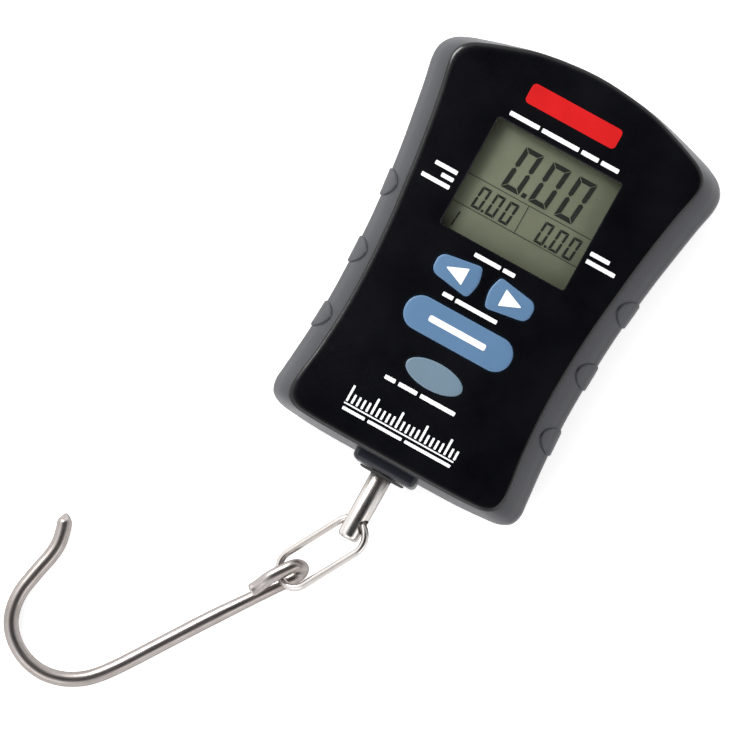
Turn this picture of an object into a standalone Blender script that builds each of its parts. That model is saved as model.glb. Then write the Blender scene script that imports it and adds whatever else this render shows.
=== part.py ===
"""Digital hanging fish scale, lying on its back.

Frame: +Z out of the display face, +Y up the face, +X to the reader's right. The origin is on the flat back of the
rear shell, half way up the case. Lengths below are in millimetres and become metres as the meshes are made.
"""

import math

import bmesh
import bpy
from mathutils import Matrix, Vector

MM = 0.001
GAP = 0.3  # air between neighbours

# ---------------------------------------------------------------- driving dimensions
# Stations of the right half of the case, from the middle of the top round to the middle of the foot.
OUTLINE = [
    (0, 66.6), (10.5, 65.9), (20.4, 64.5), (29.0, 62.4), (36.1, 60.3), (41.8, 58.4), (45.7, 56.2), (48.1, 52.9),
    (48.6, 49.0), (47.0, 40.5), (45.2, 30.0), (43.6, 20.0), (42.2, 9.0), (41.1, -2.0), (40.4, -16.0), (40.2, -30.0),
    (41.0, -45.0), (42.0, -56.0), (42.3, -60.3), (41.2, -63.6), (38.1, -65.6), (31.5, -66.5), (22.8, -67.0), (0, -67.1),
]
# The same stations on the front edge of the side walls, where the face plate begins.
SEAM = [
    (0, 65.7), (10.3, 65.0), (20.0, 63.4), (28.0, 60.9), (34.0, 58.7), (38.6, 56.6), (41.2, 54.3), (42.4, 51.6),
    (42.5, 48.6), (40.8, 40.0), (39.05, 30.0), (37.6, 20.0), (36.3, 9.0), (35.1, -2.0), (34.2, -16.0), (34.0, -30.0),
    (34.9, -45.0), (36.3, -56.0), (36.4, -59.6), (35.3, -62.8), (32.4, -64.7), (27.0, -65.4), (20.0, -65.6), (0, -65.7),
]
HALF_W, HALF_L = 45.0, 67.0  # mean half width and half length, for insetting the outline
WALL = 3.0
PARTING_Z = 12.5
FLOOR_TOP = 2.2
DECK_BOTTOM, DECK_TOP = 22.4, 24.0
FACE_BOTTOM, FACE_TOP = 24.3, 25.6

RIB_PITCH, RIB_MIDDLE_Y, RIB_WIDTH, RIB_PROUD = 22.2, -14.1, 8.6, 0.6

WINDOW = (0.2, 22.5, 42.2, 36.4)  # centre x, centre y, width, height
KEY_TOP, FLANGE_BOTTOM, FLANGE_TOP = 26.0, 21.1, 22.1
KEY_TRAVEL = 0.5
ARROW_Y = -6.35
SELECT_Y, SELECT_SIZE = -22.1, (36.0, 10.8)
POWER_Y, POWER_SIZE = -36.9, (19.0, 8.6)

PCB_BOTTOM, PCB_TOP = 16.0, 17.6

BATTERY_R, BATTERY_L, BATTERY_Z = 5.25, 44.5, 8.9
BATTERY_Y = (24.6, 36.0)

DOOR_AXIS_Y, DOOR_AXIS_Z, DOOR_R, DOOR_FAR_Y, DOOR_HALF_X = 16.0, 1.1, 0.85, 43.9, 27.5

STEM_Z, STEM_R, THREAD_R = 12.5, 3.4, 2.45
STEM_END_Y, SHOULDER_Y, THREAD_END_Y = -91.8, -58.3, -39.6
CROSS_HOLE_Y, CROSS_HOLE_R, CROSS_HOLE_TILT = -86.3, 2.3, math.radians(28)
BOSS_HALF_W, BOSS_END_Y = 10.4, -69.5
BUSH_R_OUT, BUSH_R_IN = 5.2, 3.75

LINK_WIRE_R, LINK_BEND_R, LINK_STRAIGHT = 1.15, 5.8, 19.1
LINK_TOP = (2.7, -86.2, 13.85)  # where the wire's middle line turns over at the stem end
LINK_TURN, LINK_ROLL = math.radians(30.2), math.radians(18)
LINK_DROP = 8.6

HOOK_WIRE_R, HOOK_FULL_R, EYE_R, EYE_SET, EYE_TILT = 2.05, 2.3, 3.5, 3.7, math.radians(26)
HOOK_TURN = math.atan2(0.578, 0.816)
# Middle line of the hook past the eye: along the shank, and across it towards the point.
HOOK_STATIONS = [
    (10.0, -1.6), (24.0, -1.7), (38.0, -2.1), (50.0, -2.5), (57.0, -2.6), (61.5, -2.4), (65.5, -1.8), (69.3, -0.5),
    (73.2, 1.7), (76.9, 5.2), (79.5, 9.8), (80.7, 14.8), (80.5, 19.8), (78.9, 24.2), (75.9, 27.9), (72.1, 30.8),
    (68.0, 32.8), (63.9, 34.6), (59.9, 36.3), (56.5, 38.3), (53.7, 41.0), (51.4, 44.0), (50.0, 45.9),
]

# ---------------------------------------------------------------- scene and helpers
for old in list(bpy.data.objects):
    bpy.data.objects.remove(old, do_unlink=True)

PARTS = bpy.data.collections.new("digital_fish_scale")
CUTTERS = bpy.data.collections.new("cutters")
for collection in (PARTS, CUTTERS):
    bpy.context.scene.collection.children.link(collection)

FINISHES = {
    "satin": ((0.045, 0.047, 0.052), 0.5, 0.0),
    "gloss_black": ((0.006, 0.006, 0.008), 0.12, 0.0),
    "clear": ((0.75, 0.8, 0.78), 0.05, 0.0),
    "lcd": ((0.115, 0.13, 0.078), 0.3, 0.0),
    "key_blue": ((0.14, 0.26, 0.48), 0.4, 0.0),
    "key_pale": ((0.2, 0.31, 0.38), 0.35, 0.0),
    "white_plastic": ((0.75, 0.75, 0.72), 0.5, 0.0),
    "rubber": ((0.015, 0.015, 0.016), 0.8, 0.0),
    "pink_rubber": ((0.6, 0.35, 0.33), 0.7, 0.0),
    "board": ((0.02, 0.13, 0.05), 0.45, 0.0),
    "chip": ((0.012, 0.012, 0.013), 0.4, 0.0),
    "steel": ((0.55, 0.54, 0.52), 0.22, 1.0),
    "polished": ((0.7, 0.69, 0.67), 0.1, 1.0),
    "aluminium": ((0.6, 0.61, 0.62), 0.35, 1.0),
    "brass": ((0.6, 0.45, 0.2), 0.3, 1.0),
    "film": ((0.5, 0.3, 0.08), 0.4, 0.0),
    "cell": ((0.04, 0.12, 0.28), 0.3, 0.3),
    "red": ((0.5, 0.02, 0.02), 0.5, 0.0),
    "black": ((0.01, 0.01, 0.01), 0.5, 0.0),
    "nylon": ((0.65, 0.64, 0.6), 0.55, 0.0),
}


def material(name, finish):
    colour, rough, metal = FINISHES[finish]
    made = bpy.data.materials.new(name)
    made.use_nodes = True
    shader = made.node_tree.nodes["Principled BSDF"]
    shader.inputs["Base Color"].default_value = (*colour, 1)
    shader.inputs["Roughness"].default_value = rough
    shader.inputs["Metallic"].default_value = metal
    return made


def settle(obj, finish, parent=None):
    """Puts an object with the parts, or with the cutters where finish is None."""
    if finish is None:
        CUTTERS.objects.link(obj)
        obj.hide_render = True
        obj.display_type = "WIRE"
    else:
        PARTS.objects.link(obj)
        obj.data.materials.append(material(obj.name, finish))
    if obj.type == "MESH":
        obj.data.shade_smooth()
        obj.data.set_sharp_from_angle(angle=math.radians(35))
    if parent is not None:
        obj.parent = parent
        obj.matrix_parent_inverse = Matrix.Translation(parent.location).inverted()
    return obj


def from_bmesh(name, bm, location, rotation, finish, parent=None):
    bmesh.ops.recalc_face_normals(bm, faces=bm.faces)
    mesh = bpy.data.meshes.new(name)
    bm.to_mesh(mesh)
    bm.free()
    obj = bpy.data.objects.new(name, mesh)
    obj.location = Vector(location) * MM
    obj.rotation_euler = rotation
    return settle(obj, finish, parent)


def box(name, low, high, finish, bevel=0.0, segments=2, parent=None):
    size = [(b - a) * MM for a, b in zip(low, high)]
    bm = bmesh.new()
    bmesh.ops.create_cube(bm, size=1.0, matrix=Matrix.Diagonal((*size, 1)))
    centre = [(a + b) / 2 for a, b in zip(low, high)]
    obj = from_bmesh(name, bm, centre, (0, 0, 0), finish, parent)
    if bevel:
        rounded = obj.modifiers.new("rounded", "BEVEL")
        rounded.width = bevel * MM
        rounded.segments = segments
    return obj


AXES = {"X": (0, math.pi / 2, 0), "Y": (-math.pi / 2, 0, 0), "Z": (0, 0, 0)}


def cylinder(name, radius, low, high, centre, axis, finish, sides=24, parent=None, end_radius=None):
    """A cylinder from low to high along the axis; centre holds the other two coordinates, with anything on the axis."""
    bm = bmesh.new()
    bmesh.ops.create_cone(
        bm,
        cap_ends=True,
        segments=sides,
        radius1=radius * MM,
        radius2=(radius if end_radius is None else end_radius) * MM,
        depth=(high - low) * MM,
    )
    middle = list(centre)
    middle["XYZ".index(axis)] = (low + high) / 2
    return from_bmesh(name, bm, middle, AXES[axis], finish, parent)


def turned(name, profile, centre, axis, finish, steps=16, parent=None, closed=False):
    """A profile of (radius, height) points, read down its outer side, turned about the axis."""
    bm = bmesh.new()
    points = [bm.verts.new((r * MM, 0, h * MM)) for r, h in profile]
    for a, b in zip(points, points[1:]):
        bm.edges.new((a, b))
    if closed:
        bm.edges.new((points[-1], points[0]))
    mesh = bpy.data.meshes.new(name)
    bm.to_mesh(mesh)
    bm.free()
    obj = bpy.data.objects.new(name, mesh)
    obj.location = Vector(centre) * MM
    obj.rotation_euler = AXES[axis]
    settle(obj, finish, parent)
    screw = obj.modifiers.new("turned", "SCREW")
    screw.axis = "Z"
    screw.angle = 2 * math.pi
    screw.steps = screw.render_steps = steps
    screw.use_merge_vertices = True
    screw.merge_threshold = 0.00001
    screw.use_smooth_shade = True
    return obj


def ring(name, outer, inner, low, high, centre, axis, finish, steps=24, parent=None):
    half = (high - low) / 2
    middle = list(centre)
    middle["XYZ".index(axis)] = (low + high) / 2
    profile = [(inner, half), (outer, half), (outer, -half), (inner, -half)]
    return turned(name, profile, middle, axis, finish, steps, parent, closed=True)


def as_mesh(curve_object, finish, parent=None):
    """A mesh object in place of a curve object, its caps welded to its sides."""
    name = curve_object.name
    bpy.context.scene.collection.objects.link(curve_object)
    bpy.context.view_layer.update()
    graph = bpy.context.evaluated_depsgraph_get()
    mesh = bpy.data.meshes.new_from_object(curve_object.evaluated_get(graph))
    world = curve_object.matrix_world.copy()
    bpy.data.objects.remove(curve_object, do_unlink=True)
    bm = bmesh.new()
    bm.from_mesh(mesh)
    bmesh.ops.remove_doubles(bm, verts=bm.verts, dist=1e-7)
    bmesh.ops.recalc_face_normals(bm, faces=bm.faces)
    bm.to_mesh(mesh)
    bm.free()
    mesh.materials.clear()
    obj = bpy.data.objects.new(name, mesh)
    obj.matrix_world = world
    return settle(obj, finish, parent)


def plate(name, loop, low, high, finish, centre=(0, 0), parent=None):
    """A flat outline with thickness, from z = low to z = high."""
    curve = bpy.data.curves.new(name, "CURVE")
    curve.dimensions = "2D"
    curve.fill_mode = "BOTH"
    curve.extrude = (high - low) / 2 * MM
    spline = curve.splines.new("POLY")
    spline.points.add(len(loop) - 1)
    for point, (x, y) in zip(spline.points, loop):
        point.co = (x * MM, y * MM, 0, 1)
    spline.use_cyclic_u = True
    obj = bpy.data.objects.new(name, curve)
    obj.location = (centre[0] * MM, centre[1] * MM, (low + high) / 2 * MM)
    return as_mesh(obj, finish, parent)


def wire(name, points, radius, origin, finish, resolution=2, cyclic=False, radii=None, parent=None, mesh=False):
    """A round wire along the points, in an object whose origin is given."""
    curve = bpy.data.curves.new(name, "CURVE")
    curve.dimensions = "3D"
    curve.bevel_depth = radius * MM
    curve.bevel_resolution = resolution
    curve.use_fill_caps = True
    spline = curve.splines.new("POLY")
    spline.points.add(len(points) - 1)
    for i, (point, place) in enumerate(zip(spline.points, points)):
        point.co = (*((Vector(place) - Vector(origin)) * MM), 1)
        if radii:
            point.radius = radii[i]
    spline.use_cyclic_u = cyclic
    obj = bpy.data.objects.new(name, curve)
    obj.location = Vector(origin) * MM
    if mesh:
        return as_mesh(obj, finish, parent)
    return settle(obj, finish, parent)


def through(stations, steps):
    """A smooth curve through the stations, with this many steps between neighbours."""
    pts = [Vector(p) for p in stations]
    ends = [2 * pts[0] - pts[1], *pts, 2 * pts[-1] - pts[-2]]
    made = []
    for i in range(len(pts) - 1):
        a, b, c, d = ends[i : i + 4]
        for k in range(steps):
            t = k / steps
            made.append(
                0.5 * ((2 * b) + (c - a) * t + (2 * a - 5 * b + 4 * c - d) * t * t + (3 * b - a - 3 * c + d) * t**3)
            )
    return made + [pts[-1]]


def join(obj, other, operation):
    cut = obj.modifiers.new(f"{operation.lower()}_{other.name}", "BOOLEAN")
    cut.operation = operation
    cut.solver = "EXACT"
    cut.object = other
    return obj


def cut(obj, *others):
    for other in others:
        join(obj, other, "DIFFERENCE")


def add(obj, *others):
    for other in others:
        join(obj, other, "UNION")


def whole(half):
    """The closed outline, clockwise from the middle of the top, from its right half."""
    return [*half, *[(-x, y) for x, y in reversed(half[1:-1])]]


def inset(loop, dx, dy, z):
    return [(x * (1 - dx / HALF_W), y * (1 - dy / HALF_L), z) for x, y in loop]


def between(t, dx, dy, z):
    """The side wall's outline at a share t of the way from the widest line to the front edge."""
    mixed = [((1 - t) * a[0] + t * b[0], (1 - t) * a[1] + t * b[1]) for a, b in zip(OUTLINE, SEAM)]
    return inset(whole(mixed), dx, dy, z)


def loft(name, rings, finish, parent=None):
    """A skin over rings of matching points, with a flat face on the first and the last."""
    bm = bmesh.new()
    made = [[bm.verts.new(Vector(p) * MM) for p in points] for points in rings]
    for a, b in zip(made, made[1:]):
        for i in range(len(a)):
            j = (i + 1) % len(a)
            bm.faces.new((a[i], a[j], b[j], b[i]))
    bm.faces.new(made[0])
    bm.faces.new(made[-1])
    bmesh.ops.triangulate(bm, faces=bm.faces[-2:])
    return from_bmesh(name, bm, (0, 0, 0), (0, 0, 0), finish, parent)


def rounded_polygon(corners, radii, segments=5):
    """A polygon whose corners are arcs."""
    loop = []
    count = len(corners)
    for i in range(count):
        here, before, after = (Vector(corners[k % count]) for k in (i, i - 1, i + 1))
        a, b = (before - here).normalized(), (after - here).normalized()
        half = math.acos(max(-1, min(1, a.dot(b)))) / 2
        reach = radii[i] / math.tan(half)
        centre = here + (a + b).normalized() * (radii[i] / math.sin(half))
        start, end = here + a * reach - centre, here + b * reach - centre
        sweep = start.angle_signed(end)
        for k in range(segments + 1):
            angle = math.atan2(start.y, start.x) - sweep * k / segments
            loop.append((centre.x + radii[i] * math.cos(angle), centre.y + radii[i] * math.sin(angle)))
    return loop


def rectangle(width, height, radius, segments=4):
    w, h = width / 2, height / 2
    return rounded_polygon([(w, h), (-w, h), (-w, -h), (w, -h)], [radius] * 4, segments)


def ellipse(width, height, sides=32):
    turn = 2 * math.pi / sides
    return [(width / 2 * math.cos(turn * i), height / 2 * math.sin(turn * i)) for i in range(sides)]


def grown(loop, by):
    """The loop made larger all round, by scaling about its middle."""
    xs, ys = [p[0] for p in loop], [p[1] for p in loop]
    cx, cy = (min(xs) + max(xs)) / 2, (min(ys) + max(ys)) / 2
    kx, ky = 1 + 2 * by / (max(xs) - min(xs)), 1 + 2 * by / (max(ys) - min(ys))
    return [(cx + (x - cx) * kx, cy + (y - cy) * ky) for x, y in loop]


def pivot(name, place, parent=None):
    empty = bpy.data.objects.new(name, None)
    empty.empty_display_size = 0.005
    empty.location = Vector(place) * MM
    PARTS.objects.link(empty)
    if parent is not None:
        empty.parent = parent
        empty.matrix_parent_inverse = Matrix.Translation(parent.location).inverted()
    return empty


# ---------------------------------------------------------------- rear shell
rear_shell = loft(
    "rear_shell",
    [
        inset(whole(OUTLINE), 6.5, 5.0, 0.0),
        inset(whole(OUTLINE), 4.9, 3.7, 0.3),
        inset(whole(OUTLINE), 3.0, 2.3, 1.3),
        inset(whole(OUTLINE), 1.4, 1.1, 3.2),
        inset(whole(OUTLINE), 0.3, 0.25, 6.0),
        inset(whole(OUTLINE), 0.0, 0.0, 8.5),
        inset(whole(OUTLINE), 0.25, 0.15, PARTING_Z - GAP / 2),
        inset(whole(OUTLINE), 1.75, 1.65, PARTING_Z - GAP / 2),
        inset(whole(OUTLINE), 1.75, 1.65, 11.2),
        inset(whole(OUTLINE), WALL, WALL, 11.2),
        inset(whole(OUTLINE), WALL + 0.1, WALL + 0.1, 6.0),
        inset(whole(OUTLINE), 4.6, 4.2, 3.2),
        inset(whole(OUTLINE), 6.5, 5.6, FLOOR_TOP),
    ],
    "satin",
)

# Finger ribs: flat-sided pads across the side walls, cut from a slightly larger copy of the walls.
rib_posts = []
for side in (-1, 1):
    for k in (-1, 0, 1):
        y = RIB_MIDDLE_Y + k * RIB_PITCH
        post = ellipse(17.5, RIB_WIDTH, 20)
        rib_posts.append((side, y, post))


def rib_pads(name, rings, core):
    """The six pads as one mesh: oval posts across the case, kept where they lie between the larger wall and its core."""
    bm = bmesh.new()
    for side, y, post in rib_posts:
        near, far = 31.0 * side, 47.0 * side
        a = [bm.verts.new(Vector((near, y + v, PARTING_Z + u)) * MM) for u, v in post]
        b = [bm.verts.new(Vector((far, y + v, PARTING_Z + u)) * MM) for u, v in post]
        for i in range(len(a)):
            j = (i + 1) % len(a)
            bm.faces.new((a[i], a[j], b[j], b[i]))
        bm.faces.new(a)
        bm.faces.new(b)
    pads = from_bmesh(name, bm, (0, 0, 0), (0, 0, 0), None)
    join(pads, loft(name + "_wall", rings, None), "INTERSECT")
    join(pads, loft(name + "_core", core, None), "DIFFERENCE")
    return pads


PROUD = -RIB_PROUD
rear_ribs = rib_pads(
    "rear_ribs",
    [
        inset(whole(OUTLINE), 1.4 + PROUD, 1.1, 3.0),
        inset(whole(OUTLINE), 0.3 + PROUD, 0.25, 6.0),
        inset(whole(OUTLINE), PROUD, 0.0, 8.5),
        inset(whole(OUTLINE), 0.25 + PROUD, 0.15, PARTING_Z - GAP / 2 - 0.02),
    ],
    [
        inset(whole(OUTLINE), 3.4, 1.1, 2.0),
        inset(whole(OUTLINE), 1.0, 0.25, 6.0),
        inset(whole(OUTLINE), 0.8, 0.0, 8.5),
        inset(whole(OUTLINE), 1.0, 0.15, 14.0),
    ],
)
add(rear_shell, rear_ribs)

# Foot boss: one rounded block round the stem, half on each shell.
boss_slab_low = box("boss_slab_low", (-15, -75, -5), (15, -60, PARTING_Z + GAP / 2 + 0.03), None)
boss_slab_high = box("boss_slab_high", (-15, -75, PARTING_Z - GAP / 2 - 0.03), (15, -60, 30), None)
boss_rear = box("boss_rear", (-BOSS_HALF_W, BOSS_END_Y, 3.4), (BOSS_HALF_W, -63.6, 21.6), None, 1.8, 3)
boss_front = box("boss_front", (-BOSS_HALF_W, BOSS_END_Y, 3.4), (BOSS_HALF_W, -63.6, 21.6), None, 1.8, 3)
cut(boss_rear, boss_slab_high)
cut(boss_front, boss_slab_low)
add(rear_shell, boss_rear)

CASE_SCREWS = [(37.5, 49.5), (-37.5, 49.5), (31.0, -42.0), (-31.0, -42.0)]
for i, (x, y) in enumerate(CASE_SCREWS, 1):
    add(rear_shell, cylinder(f"rear_post_{i}", 3.4, 1.6, 12.1, (x, y, 0), "Z", None, 18))
LOAD_Y = (-58.0, -46.0)
add(rear_shell, box("anchor_block", (-30.0, -56.6, 1.6), (-16.0, -47.4, 6.2), None))

for i, (x, y) in enumerate(CASE_SCREWS, 1):
    cut(
        rear_shell,
        cylinder(f"counterbore_{i}", 3.1, -1, 3.4, (x, y, 0), "Z", None, 20),
        cylinder(f"post_hole_{i}", 1.75, 3.0, 14, (x, y, 0), "Z", None, 12),
    )
LOAD_SCREW_X = (-26.2, -19.9)
LOAD_MID_Y = sum(LOAD_Y) / 2
for i, x in enumerate(LOAD_SCREW_X, 1):
    cut(rear_shell, cylinder(f"anchor_hole_{i}", 1.95, 3.0, 8, (x, LOAD_MID_Y, 0), "Z", None, 12))
door_opening = box("door_opening", (-DOOR_HALF_X - GAP, DOOR_AXIS_Y - DOOR_R - GAP, -1), (DOOR_HALF_X + GAP, DOOR_FAR_Y + GAP, 2.6), None)
door_pin_holes = cylinder("door_pin_holes", 0.8, -29.6, 29.6, (0, DOOR_AXIS_Y, DOOR_AXIS_Z), "X", None, 12)
bm = bmesh.new()
bmesh.ops.create_uvsphere(bm, u_segments=20, v_segments=10, radius=11.0 * MM)
finger_scoop = from_bmesh("finger_scoop", bm, (0, DOOR_FAR_Y + 1.5, -9.9), (0, 0, 0), None)
bush_hole = cylinder("bush_hole", BUSH_R_OUT + GAP, -75, -60, (0, 0, STEM_Z), "Y", None, 28)
gasket_step = box("gasket_step", (-11.0, -65.35, 11.2), (11.0, -62.0, 14.0), None)
cut(rear_shell, door_opening, door_pin_holes, finger_scoop, gasket_step, bush_hole)

# ---------------------------------------------------------------- front shell
front_shell = loft(
    "front_shell",
    [
        between(1.0, 0.0, 0.0, DECK_TOP),
        between(0.74, 0.0, 0.0, 21.6),
        between(0.45, 0.0, 0.0, 18.6),
        between(0.2, 0.0, 0.0, 15.4),
        between(0.0, 0.25, 0.15, PARTING_Z + GAP / 2),
        between(0.0, WALL, WALL, PARTING_Z + GAP / 2),
        between(0.2, WALL, WALL, 15.4),
        between(0.6, WALL, WALL, 20.2),
        between(1.0, WALL, WALL, DECK_BOTTOM),
    ],
    "satin",
)
front_ribs = rib_pads(
    "front_ribs",
    [
        between(0.78, PROUD, 0.0, 22.0),
        between(0.45, PROUD, 0.0, 18.6),
        between(0.2, PROUD, 0.0, 15.4),
        between(0.0, 0.25 + PROUD, 0.15, PARTING_Z + GAP / 2 + 0.02),
    ],
    [
        between(1.0, 1.6, 0.0, 24.0),
        between(0.45, 1.6, 0.0, 18.6),
        between(0.2, 1.6, 0.0, 15.4),
        between(-0.1, 1.6, 0.15, 11.0),
    ],
)
add(front_shell, front_ribs, boss_front)
for i, (x, y) in enumerate(CASE_SCREWS, 1):
    add(front_shell, cylinder(f"front_post_{i}", 3.0, 12.9, 23.0, (x, y, 0), "Z", None, 18))
PCB_SCREWS = [(25.2, 46.5), (-25.2, 46.5), (23.5, -36.6), (-23.5, -36.6)]
for i, (x, y) in enumerate(PCB_SCREWS, 1):
    add(front_shell, cylinder(f"board_post_{i}", 2.2, PCB_TOP + GAP, 23.0, (x, y, 0), "Z", None, 14))
for i, (x, y) in enumerate(CASE_SCREWS, 1):
    cut(front_shell, cylinder(f"front_hole_{i}", 1.5, 12, 20.5, (x, y, 0), "Z", None, 12))
for i, (x, y) in enumerate(PCB_SCREWS, 1):
    cut(front_shell, cylinder(f"board_hole_{i}", 1.3, 17, 21.8, (x, y, 0), "Z", None, 10))
cut(front_shell, bush_hole)

wx, wy, ww, wh = WINDOW
LENS = (45.6, 39.8)
cut(front_shell, plate("deck_window", rectangle(LENS[0] + 2 * GAP, LENS[1] + 2 * GAP, 1.5), 20, 26, None, (wx, wy)))

# ---------------------------------------------------------------- face plate
face_bezel = loft(
    "face_bezel",
    [
        between(1.0, 0.0, 0.0, FACE_BOTTOM),
        between(1.0, 0.0, 0.0, 24.75),
        between(1.0, 0.9, 0.8, 25.3),
        between(1.0, 1.9, 1.7, FACE_TOP),
    ],
    "gloss_black",
)
cut(face_bezel, plate("face_window", rectangle(ww, wh, 0.8, 3), 20, 28, None, (wx, wy)))

# ---------------------------------------------------------------- keys
ARROW = rounded_polygon(
    [(1.5, -6.35), (3.0, -1.05), (16.5, -3.2), (16.5, -9.5), (3.0, -11.65)][::-1], [1.5, 2.9, 2.9, 1.5, 9.0], 5
)
SELECT = [(x, y + SELECT_Y) for x, y in rectangle(*SELECT_SIZE, 5.2, 6)]
POWER = [(x, y + POWER_Y) for x, y in ellipse(*POWER_SIZE, 32)]
KEYS = {
    "key_left": ([(-x, y) for x, y in ARROW][::-1], "key_blue", (-9.3, ARROW_Y)),
    "key_right": (ARROW, "key_blue", (9.3, ARROW_Y)),
    "key_select": (SELECT, "key_blue", (0.0, SELECT_Y)),
    "key_power": (POWER, "key_pale", (0.0, POWER_Y)),
}
for name, (loop, finish, (cx, cy)) in KEYS.items():
    local = [(x - cx, y - cy) for x, y in loop]
    key = plate(name, local, FLANGE_TOP - 0.1, KEY_TOP, finish, (cx, cy))
    add(key, plate(name + "_flange", grown(local, 1.0), FLANGE_BOTTOM, FLANGE_TOP, None, (cx, cy)))
    hole = plate(name + "_hole", grown(local, GAP), 20, 28, None, (cx, cy))
    cut(front_shell, hole)
    cut(face_bezel, hole)

# ---------------------------------------------------------------- display
plate("lcd_window", rectangle(*LENS, 1.2), 22.7, DECK_TOP, "clear", (wx, wy))
box("lcd_glass", (wx - 23, wy - 20, 19.5), (wx + 23, wy + 20, 21.9), "lcd")
lcd_holder = box("lcd_holder", (wx - 24.5, wy - 21.5, 17.9), (wx + 24.5, wy + 21.5, 22.3), "white_plastic")
cut(
    lcd_holder,
    box("holder_pocket", (wx - 23.3, wy - 20.3, 19.2), (wx + 23.3, wy + 20.3, 24), None),
    box("holder_opening", (wx - 21, wy - 18, 15), (wx + 21, wy + 18, 20), None),
)
box("zebra_strip", (wx - 19, 38.2, 17.9), (wx + 19, 40.2, 19.2), "pink_rubber")

# ---------------------------------------------------------------- circuit board
BOARD = [(28.5, 49.0), (28.5, -33.0), (26.5, -35.0), (26.5, -40.1)]
main_pcb = plate("main_pcb", [*BOARD, *[(-x, y) for x, y in reversed(BOARD)]], PCB_BOTTOM, PCB_TOP, "board")
for i, (x, y) in enumerate(PCB_SCREWS, 1):
    cut(main_pcb, cylinder(f"board_clearance_{i}", 1.4, 15, 19, (x, y, 0), "Z", None, 10))
    turned(
        f"pcb_screw_{i}",
        [(0, 21.3), (0.7, 21.3), (1.0, 20.8), (1.0, 15.7), (2.0, 15.7), (2.0, 14.9), (1.5, 14.4), (0, 14.4)],
        (x, y, 0),
        "Z",
        "steel",
        12,
    )
for name, (_, _, (cx, cy)) in KEYS.items():
    switch = box(name.replace("key", "switch"), (cx - 3, cy - 3, PCB_TOP + GAP), (cx + 3, cy + 3, 20.1), "steel")
    add(switch, cylinder(name + "_dome", 1.7, 20.0, 20.35, (cx, cy, 0), "Z", None, 16))
cylinder("mcu_chip", 4.6, 13.9, PCB_BOTTOM - GAP, (0, -10, 0), "Z", "chip", 24, end_radius=6.2)
box("amplifier_chip", (-12.5, -32.0, 14.3), (-7.5, -28.0, PCB_BOTTOM - GAP), "chip")

# ---------------------------------------------------------------- load cell
load_cell = box("load_cell", (-29.0, LOAD_Y[0], 6.5), (8.5, LOAD_Y[1], 18.5), "aluminium")
cut(
    load_cell,
    cylinder("flexure_1", 3.4, 0, 25, (-13.0, LOAD_MID_Y, 0), "Z", None, 20),
    cylinder("flexure_2", 3.4, 0, 25, (-7.4, LOAD_MID_Y, 0), "Z", None, 20),
    cylinder("stem_bore", THREAD_R + 0.35, -62, -42, (0, 0, STEM_Z), "Y", None, 20),
)
for i, x in enumerate(LOAD_SCREW_X, 1):
    cut(load_cell, cylinder(f"load_hole_{i}", 2.0, 0, 25, (x, LOAD_MID_Y, 0), "Z", None, 14))
    turned(
        f"load_cell_screw_{i}",
        [(0, 21.4), (2.4, 21.4), (2.8, 21.0), (2.8, 18.8), (1.6, 18.8), (1.6, 4.0), (1.1, 3.4), (0, 3.4)],
        (x, LOAD_MID_Y, 0),
        "Z",
        "steel",
        14,
    )
box("strain_gauge_1", (-14.7, LOAD_Y[1] + GAP, 9.0), (-5.7, LOAD_Y[1] + GAP + 0.4, 16.0), "film")
box("strain_gauge_2", (-14.7, LOAD_Y[0] - GAP - 0.4, 9.0), (-5.7, LOAD_Y[0] - GAP, 16.0), "film")
ring("thrust_washer", 4.6, THREAD_R + GAP, -45.7, -44.7, (0, 0, STEM_Z), "Y", "steel")

# ---------------------------------------------------------------- stem bushing and seal
ring("stem_bushing", BUSH_R_OUT, BUSH_R_IN, -69.2, -62.0, (0, 0, STEM_Z), "Y", "nylon", 28)
ring("stem_seal", 7.4, BUSH_R_IN, -70.5, BOSS_END_Y - GAP, (0, 0, STEM_Z), "Y", "rubber", 28)

# ---------------------------------------------------------------- case gasket and screws
half = [(6.3, -67.1), *[p for p in reversed(OUTLINE[1:-1])], (0, 66.6)]
path = [*half, *[(-x, y) for x, y in reversed(half[:-1])]]
wire(
    "case_gasket",
    [(x * (1 - 2.4 / HALF_W) if i not in (0, len(path) - 1) else x, y * (1 - 2.35 / HALF_L), 11.95) for i, (x, y) in enumerate(path)],
    0.45,
    (0, 0, 11.95),
    "rubber",
    1,
)
for i, (x, y) in enumerate(CASE_SCREWS, 1):
    turned(
        f"case_screw_{i}",
        [(0, 19.6), (0.5, 19.6), (1.15, 18.2), (1.15, 3.0), (2.7, 3.0), (2.7, 1.6), (2.1, 0.9), (0, 0.9)],
        (x, y, 0),
        "Z",
        "steel",
        14,
    )

# ---------------------------------------------------------------- batteries
tray = box("battery_tray", (-26.4, 17.6, 2.5), (26.4, 43.0, 15.6), "satin")
add(tray, box("tray_flange", (-30.5, 12.8, 2.5), (30.5, 46.8, 3.7), None))
cut(
    tray,
    box("tray_inside", (-25.2, 18.8, 0), (25.2, 41.8, 14.5), None),
    box("tray_step", (-26.9, 17.1, 0), (26.9, 43.5, 3.4), None),
    cylinder("lead_hole_1", 1.0, 22, 30, (0, BATTERY_Y[0], 11.5), "X", None, 10),
    cylinder("lead_hole_2", 1.0, 22, 30, (0, BATTERY_Y[1], 11.5), "X", None, 10),
)
door_gasket = box("door_gasket", (-26.5, 17.5, 2.3), (26.5, 43.1, 3.05), "rubber")
cut(door_gasket, box("gasket_inside", (-25.4, 18.6, 0), (25.4, 42.0, 5), None))

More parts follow.
